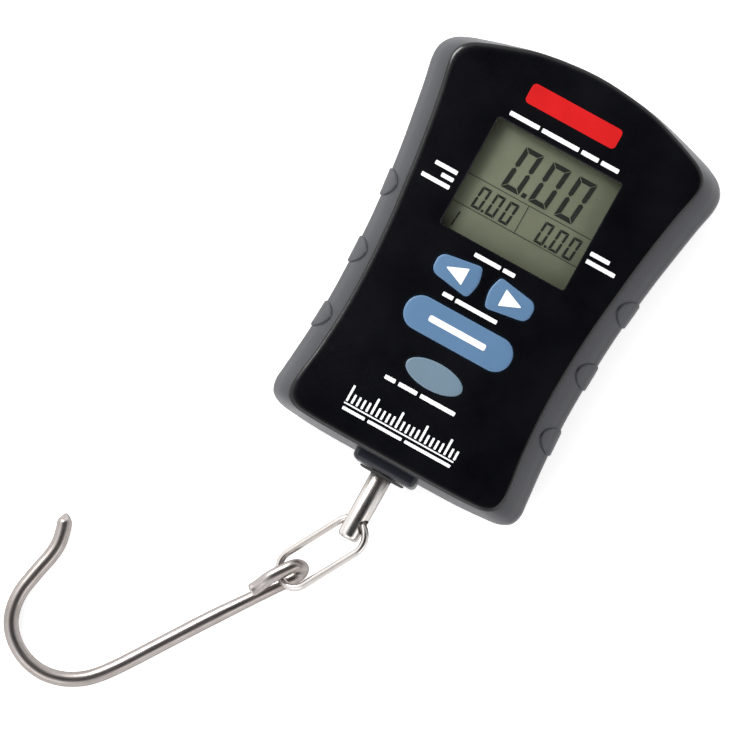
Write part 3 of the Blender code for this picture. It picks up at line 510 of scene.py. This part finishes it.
def profile_rings(stations, steps):
    """Rings at points of a smooth curve through (t, dx, dy, z) stations."""
    made = []
    pts = [(s[0] * 10, s[1], s[2], s[3]) for s in stations]
    for i in range(len(pts) - 1):
        ends = [pts[max(i - 1, 0)], pts[i], pts[i + 1], pts[min(i + 2, len(pts) - 1)]]
        for k in range(steps):
            u = k / steps
            values = []
            for a, b, c, d in zip(*ends):
                values.append(0.5 * (2 * b + (c - a) * u + (2 * a - 5 * b + 4 * c - d) * u * u + (3 * b - a - 3 * c + d) * u**3))
            made.append(between(values[0] / 10, *values[1:]))
    last = pts[-1]
    made.append(between(last[0] / 10, *last[1:]))
    return made


FRONT_WALL = [
    (0.0, 0.25, 0.15, 12.95), (0.08, 0.1, 0.06, 14.0), (0.2, 0.0, 0.0, 15.4), (0.45, 0.0, 0.0, 18.6), (0.74, 0.0, 0.0, 21.6), (0.95, 0.0, 0.0, 23.5),
]
REAR_WALL = [
    (0.0, 6.5, 5.0, 0.0), (0.0, 4.9, 3.7, 0.3), (0.0, 3.0, 2.3, 1.3), (0.0, 1.4, 1.1, 3.2), (0.0, 0.3, 0.25, 6.0), (0.0, 0.0, 0.0, 8.5), (0.0, 0.22, 0.13, 12.05),
]


def wall_loop(z):
    table = FRONT_WALL if z > 12.5 else REAR_WALL
    if z <= table[0][3]:
        return between(*table[0][:3], z)
    for a, b in zip(table, table[1:]):
        if z <= b[3]:
            u = (z - a[3]) / (b[3] - a[3])
            return between(*[(1 - u) * p + u * q for p, q in zip(a[:3], b[:3])], z)
    return between(*table[-1][:3], z)


loops = {}


def wall_point(side, y, z):
    """The wall's x at this height and length, and its outward direction in plan."""
    key = round(z, 3)
    if key not in loops:
        loops[key] = [p for p in wall_loop(z) if p[0] > 0]
    pts = loops[key]
    for a, b in zip(pts, pts[1:]):
        if (a[1] - y) * (b[1] - y) <= 0 and abs(a[1] - b[1]) > 1e-9 and a[0] > 25:
            u = (y - a[1]) / (b[1] - a[1])
            x = a[0] + u * (b[0] - a[0])
            t = Vector((b[0] - a[0], b[1] - a[1])).normalized()
            n = Vector((-t.y, t.x))
            n = n if n.x > 0 else -n
            return side * x, Vector((side * n.x, n.y))
    return side * 40.0, Vector((side, 0))


# Front shell: side walls, rounded lip, deck and window.
front_rings = [
    between(0.0, 1.2, 1.0, 12.65),
    between(0.0, 0.62, 0.5, 12.66),
    between(0.0, 0.42, 0.3, 12.74),
]
front_rings += profile_rings(FRONT_WALL, 4)
front_rings += [
    between(0.985, 0.0, 0.0, 23.74), between(1.0, 0.06, 0.06, 23.88), between(1.0, 0.2, 0.2, 23.97), between(1.0, 0.42, 0.42, 24.0),
    between(1.0, 2.0, 2.0, 24.0),
]
inner = [
    between(0.0, WALL, WALL, 12.65), between(0.2, WALL, WALL, 15.4), between(0.6, WALL, WALL, 20.2), between(1.0, WALL, WALL, 22.4),
]
bm = bmesh.new()
rings = [*inner[::-1], *front_rings]
skin(bm, rings)
case_front = finish("case_front", bm, SATIN)

BOSS_HALF_W, BOSS_END_Y = 10.4, -69.5


def boss_half(name, upper):
    low_z, high_z = (12.65, 21.6) if upper else (3.4, 12.35)
    boss = block(name, (-BOSS_HALF_W, BOSS_END_Y, 3.4), (BOSS_HALF_W, -63.2, 21.6), None, 1.7, 6)
    trim = block(name + "_trim", (-15, -75, high_z if not upper else -5), (15, -60, 30 if not upper else low_z), None)
    return carve(boss, [trim])


carve(case_front, [boss_half("boss_up", True)], "UNION")


def ellipse(width, height, sides=64, power=1.0):
    turn = 2 * math.pi / sides
    return [(width / 2 * math.cos(turn * i), height / 2 * math.sin(turn * i)) for i in range(sides)]


def rounded_polygon(corners, radii, segments=10):
    loop, count = [], len(corners)
    for i in range(count):
        here, before, after = (Vector(corners[k % count]) for k in (i, i - 1, i + 1))
        a, b = (before - here).normalized(), (after - here).normalized()
        half = math.acos(max(-1, min(1, a.dot(b)))) / 2
        reach = radii[i] / math.tan(half)
        centre = here + (a + b).normalized() * (radii[i] / math.sin(half))
        start, end = here + a * reach - centre, here + b * reach - centre
        sweep_angle = start.angle_signed(end)
        for k in range(segments + 1):
            angle = math.atan2(start.y, start.x) - sweep_angle * k / segments
            loop.append((centre.x + radii[i] * math.cos(angle), centre.y + radii[i] * math.sin(angle)))
    return loop


def rectangle(width, height, radius, segments=8):
    w, h = width / 2, height / 2
    return rounded_polygon([(w, h), (-w, h), (-w, -h), (w, -h)], [radius] * 4, segments)


def grown(loop, by):
    """The loop moved out all round, point by point along its own normal."""
    pts = [Vector(p) for p in loop]
    n = len(pts)
    area = sum(pts[i].x * pts[(i + 1) % n].y - pts[(i + 1) % n].x * pts[i].y for i in range(n))
    made = []
    for i in range(n):
        t = (pts[(i + 1) % n] - pts[i - 1]).normalized()
        out = Vector((t.y, -t.x)) if area > 0 else Vector((-t.y, t.x))
        made.append(tuple(pts[i] + out * by))
    return made


def shifted(loop, dx, dy):
    return [(x + dx, y + dy) for x, y in loop]


def tapered(name, loop, low, high, flare, start):
    """A cutter with upright sides that flare out near its top, which leaves a chamfered rim."""
    rings = [[(x, y, low) for x, y in loop], [(x, y, start) for x, y in loop], [(x, y, high) for x, y in grown(loop, flare)]]
    return solid(name, rings, None)


WX, WY, WW, WH = 0.2, 22.5, 42.2, 36.4
LENS = (45.6, 39.8)
ARROW = rounded_polygon([(1.5, -6.35), (3.0, -1.05), (16.5, -3.2), (16.5, -9.5), (3.0, -11.65)][::-1], [1.5, 2.9, 2.9, 1.5, 9.0], 10)
SELECT = shifted(rectangle(36.0, 10.8, 5.2, 12), 0, -22.1)
POWER = shifted(ellipse(19.0, 8.6, 72), 0, -36.9)
KEYS = {
    "key_left": ([(-x, y) for x, y in ARROW][::-1], KEY_BLUE, "key_blue"),
    "key_right": (ARROW, KEY_BLUE, "key_blue"),
    "key_select": (SELECT, KEY_BLUE, "key_blue"),
    "key_power": (POWER, KEY_PALE, "key_pale"),
}
window_hole = shifted(rectangle(LENS[0] + 0.6, LENS[1] + 0.6, 1.5), WX, WY)
cutters = [prism("hole_window", window_hole, 20, 26)]
cutters += [prism("hole_" + k, grown(loop, GAP), 20, 28) for k, (loop, _, _) in KEYS.items()]
cutters.append(turned("hole_bush", [(0, -75), (5.5, -75), (5.5, -60), (0, -60)], (0, 0, 12.5), "Y", None, 64))
carve(case_front, cutters)
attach(case_front, "case")
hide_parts("front_shell")

# Rear shell: bowl, gasket step, door opening, screw recesses.
rear_outer = profile_rings(REAR_WALL, 4)
rear_outer += [between(0.0, 0.36, 0.28, 12.24), between(0.0, 0.6, 0.5, 12.34), between(0.0, 1.2, 1.0, 12.35)]
rear_inner = [
    between(0.0, 1.75, 1.65, 12.35), between(0.0, 1.75, 1.65, 11.2), between(0.0, WALL, WALL, 11.2),
    between(0.0, WALL + 0.1, WALL + 0.1, 6.0), between(0.0, 4.6, 4.2, 3.2), between(0.0, 6.5, 5.6, 2.2),
]
bm = bmesh.new()
skin(bm, [*rear_outer, *rear_inner])
case_rear = finish("case_rear", bm, SATIN)
CASE_SCREWS = [(37.5, 49.5), (-37.5, 49.5), (31.0, -42.0), (-31.0, -42.0)]
joined = [boss_half("boss_down", False)]
joined += [turned(f"post_{i}", [(0, 1.6), (3.4, 1.6), (3.4, 12.1), (0, 12.1)], (x, y, 0), "Z", None, 40) for i, (x, y) in enumerate(CASE_SCREWS)]
carve(case_rear, joined, "UNION")
cutters = []
for i, (x, y) in enumerate(CASE_SCREWS):
    cutters.append(turned(f"recess_{i}", [(0, -1), (3.5, -1), (3.1, 0.3), (3.1, 3.4), (0, 3.4)], (x, y, 0), "Z", None, 40))
    cutters.append(turned(f"drill_{i}", [(0, 3.0), (1.75, 3.0), (1.75, 14), (0, 14)], (x, y, 0), "Z", None, 32))
DOOR_Y, DOOR_Z, DOOR_R, DOOR_FAR, DOOR_X = 16.0, 1.1, 0.85, 43.9, 27.5
cutters.append(block("door_gap", (-DOOR_X - GAP, DOOR_Y - DOOR_R - GAP, -1), (DOOR_X + GAP, DOOR_FAR + GAP, 2.6)))
cutters.append(turned("pin_gap", [(0, -29.6), (0.8, -29.6), (0.8, 29.6), (0, 29.6)], (0, DOOR_Y, DOOR_Z), "X", None, 24))
bm = bmesh.new()
bmesh.ops.create_uvsphere(bm, u_segments=64, v_segments=48, radius=11 * MM)
bmesh.ops.translate(bm, verts=bm.verts, vec=Vector((0, DOOR_FAR + 1.5, -9.9)) * MM)
cutters.append(finish("scoop", bm, None))
cutters.append(block("step_gap", (-11, -65.35, 11.2), (11, -62, 14)))
cutters.append(turned("hole_bush_low", [(0, -75), (5.5, -75), (5.5, -60), (0, -60)], (0, 0, 12.5), "Y", None, 64))
carve(case_rear, cutters)
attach(case_rear, "case")
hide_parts("rear_shell")

# Finger pads on both walls, each in two halves at the parting line.
RIB_Y, RIB_PITCH, RIB_W, RIB_H, RIB_OUT = -14.1, 22.2, 8.6, 17.5, 0.6


def finger_pad(name, side, y0, upper):
    flat = 0.18
    arc = []
    steps = 28
    for k in range(steps + 1):
        a = math.pi * k / steps
        arc.append((RIB_W / 2 * math.cos(a), max(flat, RIB_H / 2 * math.sin(a))))
    base_line = [(RIB_W / 2 * (-1 + 2 * k / 8), flat) for k in range(1, 8)]
    shape = arc + base_line
    cy = RIB_H * 0.21
    levels = [(1.0, -0.5), (1.0, RIB_OUT - 0.28), (0.985, RIB_OUT - 0.12), (0.955, RIB_OUT - 0.03), (0.9, RIB_OUT), (0.6, RIB_OUT + 0.02), (0.3, RIB_OUT + 0.03)]
    bm = bmesh.new()
    made = []
    for scale, out in levels:
        ring = []
        for u, v in shape:
            pu, pv = u * scale, cy + (v - cy) * scale
            z = 12.5 + (pv if upper else -pv)
            x, n = wall_point(side, y0 + pu, z)
            ring.append(bm.verts.new(Vector((x + n.x * out, y0 + pu + n.y * out, z)) * MM))
        made.append(ring)
    for a, b in zip(made, made[1:]):
        for i in range(len(a)):
            j = (i + 1) % len(a)
            bm.faces.new((a[i], a[j], b[j], b[i]))
    for ring, out in ((made[-1], RIB_OUT + 0.03), (made[0], -0.5)):
        z = 12.5 + (cy if upper else -cy)
        x, n = wall_point(side, y0, z)
        tip = bm.verts.new(Vector((x + n.x * out, y0 + n.y * out, z)) * MM)
        for i in range(len(ring)):
            bm.faces.new((ring[i], ring[(i + 1) % len(ring)], tip))
    return finish(name, bm, SATIN, body="case", slot="shell", angle=40)


for side, word in ((-1, "left"), (1, "right")):
    for k in (-1, 0, 1):
        for upper in (True, False):
            finger_pad(f"finger_pad_{word}_{k + 2}_{'front' if upper else 'rear'}", side, RIB_Y + k * RIB_PITCH, upper)

# Face plate: black, with a rolled edge and a bevelled window.
face_rings = [between(1.0, 0.25, 0.25, 24.3), between(1.0, 0.05, 0.05, 24.32), between(1.0, 0.0, 0.0, 24.42)]
face_rings += profile_rings([(1.0, 0.0, 0.0, 24.62), (1.0, 0.28, 0.25, 24.93), (1.0, 0.8, 0.72, 25.24), (1.0, 1.5, 1.35, 25.45), (1.0, 2.4, 2.2, 25.6)], 3)
face_plate = solid("face_plate", face_rings, FACE, angle=50)
window_loop = shifted(rectangle(WW, WH, 0.8), WX, WY)
cutters = [tapered("cut_window", window_loop, 20, 25.62, 0.32, 25.3)]
cutters += [tapered("cut_" + k, grown(loop, GAP), 20, 25.62, 0.2, 25.42) for k, (loop, _, _) in KEYS.items()]
carve(face_plate, cutters, angle=40)
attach(face_plate, "case")
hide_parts("face_bezel")

# ---------------------------------------------------------------- keys
for name, (loop, matter, slot_name) in KEYS.items():
    dome = 0.1 if name != "key_power" else 0.18
    levels = [(1.0, 21.1), (1.0, 22.1), (0.0, 22.1), (0.0, 25.3), (-0.05, 25.53), (-0.16, 25.7), (-0.32, 25.79), (-0.5, 25.82)]
    rings = [[(x, y, z) for x, y in grown(loop, by)] for by, z in levels]
    rim = grown(loop, -0.5)
    cx, cy = sum(x for x, _ in loop) / len(loop), sum(y for _, y in loop) / len(loop)
    for part in (0.9, 0.75, 0.5, 0.25):
        z = 25.82 + dome * (1 - part**2)
        rings.append([(cx + (x - cx) * part, cy + (y - cy) * part, z) for x, y in rim])
    bm = bmesh.new()
    made = skin(bm, rings)
    finish(name + "_cap", bm, matter, body=name, slot=slot_name, nodes=(name,), angle=40)

for sign, body in ((-1, "key_left"), (1, "key_right")):
    tri = rounded_polygon([(sign * 13.0, -6.3), (sign * 6.3, -3.5), (sign * 6.3, -9.1)], [0.25, 0.2, 0.2], 4)
    rings = [[(x, y, z) for x, y in tri] for z in (25.86, 26.0)]
    solid(f"{body}_arrow", rings, INK, body=body, slot="key_blue")

# ---------------------------------------------------------------- printing on the face: plain bars and a row of graduations
def printed(name, bars, low, high, matter, body, slot, round_off=0.3):
    """Separate flat marks in one mesh. Each bar is (left, right, bottom, top)."""
    bm = bmesh.new()
    for x0, x1, y0, y1 in bars:
        corner = min(round_off, 0.45 * (x1 - x0), 0.45 * (y1 - y0))
        loop = shifted(rectangle(x1 - x0, y1 - y0, corner, 4), (x0 + x1) / 2, (y0 + y1) / 2)
        skin(bm, [[(x, y, z) for x, y in loop] for z in (low, high)])
    return finish(name, bm, matter, body=body, slot=slot)


FACE_Z = (25.59, 25.66)
printed("face_red_bar", [(-16.6, 14.0, 48.4, 54.9)], *FACE_Z, RED_INK, "case", "face", 1.4)
marks = [(-18.6, -8.6, 42.7, 44.1), (-7.6, 4.9, 42.7, 44.1), (5.9, 11.6, 42.7, 44.1), (12.6, 18.5, 42.7, 44.1)]
marks += [(-31.0, -23.5, 19.1, 20.4), (-27.6, -23.5, 16.6, 17.9), (-33.0, -23.5, 14.1, 15.4)]
marks += [(22.9, 29.4, 17.4, 18.7), (22.9, 32.6, 14.8, 16.1)]
marks += [(-7.25, 1.6, 0.4, 1.7), (2.5, 6.5, 0.4, 1.7), (-9.9, -6.4, -14.4, -13.1), (-5.5, 8.5, -14.4, -13.1)]
marks += [(-13.0, -9.4, -44.5, -43.2), (-8.3, -2.0, -44.5, -43.2), (-0.9, 10.9, -44.5, -43.2)]
marks += [(-19.9, 17.5, -56.75, -56.3), (-19.6, -12.0, -58.6, -57.6), (-11.0, 0.6, -58.6, -57.6), (1.6, 17.2, -58.6, -57.6)]
for k in range(23):
    x = -19.4 + 1.665 * k
    tall = -50.6 if k % 5 == 0 else -52.9
    marks.append((x - 0.36, x + 0.36, -55.9, tall))
printed("face_white_marks", marks, *FACE_Z, INK, "case", "face", 0.25)
printed("key_select_bar", [(-9.9, 9.3, -23.1, -21.1)], 25.8, 25.96, INK, "key_select", "key_blue", 0.6)

# ---------------------------------------------------------------- display
lens = block("window_lens", (WX - LENS[0] / 2, WY - LENS[1] / 2, 22.7), (WX + LENS[0] / 2, WY + LENS[1] / 2, 24.0), WINDOW_CLEAR, 0.25, 3, body="case", slot="window", nodes=("lcd_window",))
lcd = block("lcd_cell", (WX - 23, WY - 20, 19.5), (WX + 23, WY + 20, 21.9), LCD, 0.15, 2, body="case", slot="lcd", nodes=("lcd_glass",))
LCD_TOP = 21.9


def strip(name, points, matter, low=LCD_TOP + 0.02, high=LCD_TOP + 0.1, **more):
    return solid(name, [[(x, y, low) for x, y in points], [(x, y, high) for x, y in points]], matter, body="case", slot="lcd", **more)


def segments_of(figure):
    return {"0": "abcdef", "1": "bc", "2": "abdeg", "5": "acdfg"}[figure]


def digit(name, figure, x0, y0, width, height, bar, slant=0.09):
    """A figure of mitred bars, leaning a little to the right, one mesh object for each bar."""
    g = bar * 0.12
    h2 = height / 2
    shapes = {
        "a": [(g, height), (width - g, height), (width - bar - g, height - bar), (bar + g, height - bar)],
        "d": [(bar + g, bar), (width - bar - g, bar), (width - g, 0), (g, 0)],
        "f": [(0, height - g), (bar, height - bar - g), (bar, h2 + bar * 0.4 + g), (bar * 0.5, h2 + g * 0.6), (0, h2 + bar * 0.5)],
        "e": [(0, h2 - bar * 0.5), (bar * 0.5, h2 - g * 0.6), (bar, h2 - bar * 0.4 - g), (bar, bar + g), (0, g)],
        "b": [(width - bar, height - bar - g), (width, height - g), (width, h2 + bar * 0.5), (width - bar * 0.5, h2 + g * 0.6), (width - bar, h2 + bar * 0.4 + g)],
        "c": [(width - bar, h2 - bar * 0.4 - g), (width - bar * 0.5, h2 - g * 0.6), (width, h2 - bar * 0.5), (width, g), (width - bar, bar + g)],
        "g": [(bar + g, h2 + bar * 0.45), (width - bar - g, h2 + bar * 0.45), (width - bar * 0.6 - g, h2), (width - bar - g, h2 - bar * 0.45), (bar + g, h2 - bar * 0.45), (bar * 0.6 + g, h2)],
    }
    for part in segments_of(figure):
        pts = [(x0 + x + (y * slant), y0 + y) for x, y in shapes[part]]
        strip(f"{name}_{part}", pts, SEGMENT)


def reading(name, x0, y0, width, height, bar, step, first_step):
    digit(f"{name}_1", "0", x0, y0, width, height, bar)
    dot = x0 + width + (first_step - width) * 0.45
    strip(f"{name}_point", [(dot - bar * 0.5, y0), (dot + bar * 0.5, y0), (dot + bar * 0.6, y0 + bar), (dot - bar * 0.4, y0 + bar)], SEGMENT)
    digit(f"{name}_2", "0", x0 + first_step, y0, width, height, bar)
    digit(f"{name}_3", "0", x0 + first_step + step, y0, width, height, bar)


reading("lcd_main", -10.7, 23.0, 6.1, 14.1, 1.5, 8.9, 9.3)
reading("lcd_left", -15.7, 13.3, 3.1, 7.2, 0.78, 4.6, 4.75)
reading("lcd_right", 5.9, 13.1, 3.1, 7.2, 0.78, 4.6, 4.95)
digit("lcd_unit", "1", -19.4, 5.2, 1.7, 5.4, 0.5)
strip("lcd_rule_upper", [(-22, 21.75), (22, 21.75), (22, 21.95), (-22, 21.95)], LCD_LINE)
strip("lcd_rule_lower", [(-22, 12.45), (22, 12.45), (22, 12.65), (-22, 12.65)], LCD_LINE)
strip("lcd_rule_middle", [(-0.3, 12.7), (-0.1, 12.7), (-0.1, 21.7), (-0.3, 21.7)], LCD_LINE)

# ---------------------------------------------------------------- stem and seal
STEM_Z, CROSS_Y = 12.5, -86.3
profile = [
    (0, -39.6), (2.05, -39.6), (2.45, -40.0), (2.45, -58.3), (3.0, -58.3), (3.4, -58.7), (3.4, -90.3),
    (3.34, -90.75), (3.17, -91.15), (2.9, -91.45), (2.5, -91.68), (2.0, -91.78), (1.2, -91.8), (0, -91.8),
]
stem = turned("stem_rod", profile, (0, 0, STEM_Z), "Y", STEM_STEEL, 72, angle=50)
cut_turn = Matrix.Rotation(math.pi / 2 - math.radians(28), 4, "Y")
hole = turned("stem_hole", [(0, -6), (2.3, -6), (2.3, 6), (0, 6)], (0, CROSS_Y, STEM_Z), "Z", None, 48, turn=cut_turn)
carve(stem, [hole], angle=50)
attribute = stem.data.attributes.new("lay", "FLOAT_VECTOR", "POINT")
for i, vert in enumerate(stem.data.vertices):
    dx, dz = vert.co.x / MM, vert.co.z / MM - STEM_Z
    r = max(math.hypot(dx, dz), 1e-6)
    attribute.data[i].vector = (dx / r * 26, dz / r * 26, vert.co.y / MM * 0.12)
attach(stem, "stem")
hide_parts("stem")

seal_profile = [(3.75, 0.15), (3.9, 0.33), (4.3, 0.35), (6.9, 0.35), (7.25, 0.22), (7.4, -0.05), (7.4, -0.35), (3.75, -0.35)]
turned("stem_seal_ring", [(r, -h) for r, h in seal_profile], (0, -70.15, STEM_Z), "Y", RUBBER, 72, body="case", slot="gasket", nodes=("stem_seal",), angle=40)

# ---------------------------------------------------------------- link
LINK_R, BEND_R, STRAIGHT = 1.15, 5.8, 19.1
link_top = Vector((2.7, -86.2, 13.85))
LINK_TURN, LINK_ROLL, LINK_DROP = math.radians(30.2), math.radians(18), 8.6
span = STRAIGHT + 2 * BEND_R
fall = LINK_DROP / span
level = math.sqrt(1 - fall * fall)
along = Vector((-math.sin(LINK_TURN) * level, -math.cos(LINK_TURN) * level, -fall))
flat = Vector((math.cos(LINK_TURN), -math.sin(LINK_TURN), 0))
up = flat.cross(along)
up = up if up.z > 0 else -up
across = flat * math.cos(LINK_ROLL) + up * math.sin(LINK_ROLL)
near, far = link_top + along * BEND_R, link_top + along * (BEND_R + STRAIGHT)
loop = []
for k in range(41):
    a = -math.pi / 2 + math.pi * k / 40
    loop.append(near + BEND_R * (math.sin(a) * across - math.cos(a) * along))
for k in range(1, 20):
    loop.append(near + BEND_R * across + along * STRAIGHT * k / 20)
for k in range(41):
    a = math.pi / 2 - math.pi * k / 40
    loop.append(far + BEND_R * (math.sin(a) * across + math.cos(a) * along))
for k in range(1, 20):
    loop.append(far - BEND_R * across - along * STRAIGHT * k / 20)
plane_normal = across.cross(along)
link = sweep("wire_link", loop, LINK_R, LINK_STEEL, 28, closed=True, start_normal=plane_normal, body="link", slot="stainless", nodes=("link",), angle=60)

# ---------------------------------------------------------------- hook
HOOK_R, FULL_R, EYE_R, EYE_SET, EYE_TILT = 2.05, 2.3, 3.5, 3.7, math.radians(26)
HOOK_TURN = math.atan2(0.578, 0.816)
STATIONS = [
    (10.0, -1.6), (24.0, -1.7), (38.0, -2.1), (50.0, -2.5), (57.0, -2.6), (61.5, -2.4), (65.5, -1.8), (69.3, -0.5),
    (73.2, 1.7), (76.9, 5.2), (79.5, 9.8), (80.7, 14.8), (80.5, 19.8), (78.9, 24.2), (75.9, 27.9), (72.1, 30.8),
    (68.0, 32.8), (63.9, 34.6), (59.9, 36.3), (56.5, 38.3), (53.7, 41.0), (51.4, 44.0), (50.0, 45.9),
]
eye = link_top + along * span
shank = Vector((-math.sin(HOOK_TURN), -math.cos(HOOK_TURN), 0))
left = Vector((-math.cos(HOOK_TURN), math.sin(HOOK_TURN), 0))
rise = left * math.sin(EYE_TILT) + Vector((0, 0, math.cos(EYE_TILT)))
tail = [(9.4, 0.78), (7.6, 1.25), (5.8, 1.95), (4.0, 2.72), (2.2, 3.25), (0.4, EYE_R - 0.05), (-1.6, EYE_R)]
rough_path = [eye + shank * s + rise * u for s, u in tail]
for k in range(11):
    a = math.pi / 2 + math.pi * k / 10
    rough_path.append(eye - shank * EYE_SET + (shank * math.cos(a) + rise * math.sin(a)) * EYE_R)
base = eye - rise * EYE_R
rough_path.append(base)
rough_path.append(base + shank * 4.0)
rough_path += [Vector((*(eye + shank * s + left * q)[:2], base.z + FULL_R - HOOK_R if s > 12 else base.z)) for s, q in STATIONS]
path = through([tuple(p) for p in rough_path], 7)
lengths = [0.0]
for a, b in zip(path, path[1:]):
    lengths.append(lengths[-1] + (b - a).length)
total = lengths[-1]
radii, squares = [], []
for s in lengths:
    left_over = total - s
    scale, square = 1.0, 0.0
    if left_over < 2.6:
        u = 1 - left_over / 2.6
        scale = 1.0 - 0.86 * u**1.25
        square = min(1.0, u * 1.6)
    if s < 0.35:
        scale = 0.93 + 0.07 * s / 0.35
    full = max(0.0, min(1.0, ((path[len(radii)] - eye).dot(shank) - 11) / 12))
    radii.append(scale * (1 + (FULL_R / HOOK_R - 1) * full))
    squares.append(square)
sweep("wire_hook", path, HOOK_R, HOOK_STEEL, 36, radii=radii, squares=squares, start_normal=rise, body="hook", slot="hook_steel", nodes=("hook",), angle=42)

# ---------------------------------------------------------------- back: door, screws
bm = bmesh.new()
arc = [math.pi / 2 + math.pi * k / 16 for k in range(17)]
section = [(DOOR_Y + DOOR_R * math.cos(a), DOOR_Z + DOOR_R * math.sin(a)) for a in arc]
section += [(DOOR_FAR - 0.5, DOOR_Z - DOOR_R), (DOOR_FAR - 0.15, DOOR_Z - DOOR_R + 0.15), (DOOR_FAR, DOOR_Z - DOOR_R + 0.5), (DOOR_FAR, DOOR_Z + DOOR_R)]
rings = [[(x, y, z) for y, z in section] for x in (-DOOR_X, -DOOR_X + 0.3, DOOR_X - 0.3, DOOR_X)]
for ring, by in ((rings[0], 0.3), (rings[3], 0.3)):
    for i, (x, y, z) in enumerate(ring):
        if z < DOOR_Z - DOOR_R + 0.3:
            ring[i] = (x, y, z + 0.3)
skin(bm, rings)
door = finish("door_panel", bm, SATIN, angle=40)
carve(door, [turned("door_stubs", [(0, -29.2), (0.5, -29.2), (0.5, 29.2), (0, 29.2)], (0, DOOR_Y, DOOR_Z), "X", None, 24)], "UNION")
grooves = []
for k in range(5):
    y = DOOR_FAR - 3.0 - 1.6 * k
    grooves.append(turned(f"groove_{k}", [(0, -9), (0.45, -8.6), (0.45, 8.6), (0, 9)], (0, y, DOOR_Z - DOOR_R - 0.12), "X", None, 16))
carve(door, grooves)
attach(door, "battery_door")
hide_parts("battery_door")

for i, (x, y) in enumerate(CASE_SCREWS, 1):
    head = turned(
        f"screw_{i}",
        [(0, 19.6), (0.5, 19.6), (1.15, 18.2), (1.15, 3.0), (2.7, 3.0), (2.7, 1.75), (2.5, 1.35), (2.0, 1.05), (1.2, 0.93), (0, 0.9)],
        (x, y, 0), "Z", DARK_SCREW, 40, angle=40,
    )
    slots = [block(f"slot_{i}_{k}", (x - a, y - b, 0.2), (x + a, y + b, 1.9)) for k, (a, b) in enumerate(((1.45, 0.32), (0.32, 1.45)))]
    carve(head, slots)
    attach(head, "case")
    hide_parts(f"case_screw_{i}")

# ---------------------------------------------------------------- finishes for the pieces inside, which keep their solids
INSIDE = {
    "battery_tray": SATIN, "lcd_holder": WHITE, "zebra_strip": PINK, "case_gasket": RUBBER, "door_gasket": RUBBER,
    "main_pcb": BOARD, "mcu_chip": EPOXY, "amplifier_chip": EPOXY, "switch_left": ZINC, "switch_right": ZINC,
    "switch_select": ZINC, "switch_power": ZINC, "pcb_screw_1": ZINC, "pcb_screw_2": ZINC, "pcb_screw_3": ZINC,
    "pcb_screw_4": ZINC, "load_cell": ALLOY, "load_cell_screw_1": ZINC, "load_cell_screw_2": ZINC,
    "strain_gauge_1": FILM, "strain_gauge_2": FILM, "load_cell_cable": WHITE_LEAD, "thrust_washer": ZINC,
    "stem_bushing": NATURAL, "stem_nut": ZINC, "battery_1": CELL, "battery_2": CELL, "bridge_contact": NICKEL,
    "positive_contact": NICKEL, "negative_contact": NICKEL, "contact_spring_1": NICKEL, "contact_spring_2": NICKEL,
    "lead_positive": RED_LEAD, "lead_negative": BLACK_LEAD,
}
for node, matter in INSIDE.items():
    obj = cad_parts[node]
    if obj.data.materials:
        for i in range(len(obj.data.materials)):
            obj.data.materials[i] = matter
    else:
        obj.data.materials.append(matter)

# ---------------------------------------------------------------- floor
made, nodes, links, shader = shader_of("paper_floor")
at = nodes.new("ShaderNodeTexCoord").outputs["Object"]
tone = noise(nodes, links, at, 3.0, 2.0)
links.new(mix_colour(nodes, links, tone, (0.86, 0.86, 0.86), (0.88, 0.88, 0.88)), shader.inputs["Base Color"])
shader.inputs["Roughness"].default_value = 0.9
shader.inputs["Specular IOR Level"].default_value = 0.1
shader.inputs["Emission Color"].default_value = (1, 1, 1, 1)
shader.inputs["Emission Strength"].default_value = 0.55
bm = bmesh.new()
bmesh.ops.create_grid(bm, x_segments=1, y_segments=1, size=6.0)
floor = finish("floor", bm, made)
floor.location = (0, 0, -0.0002)
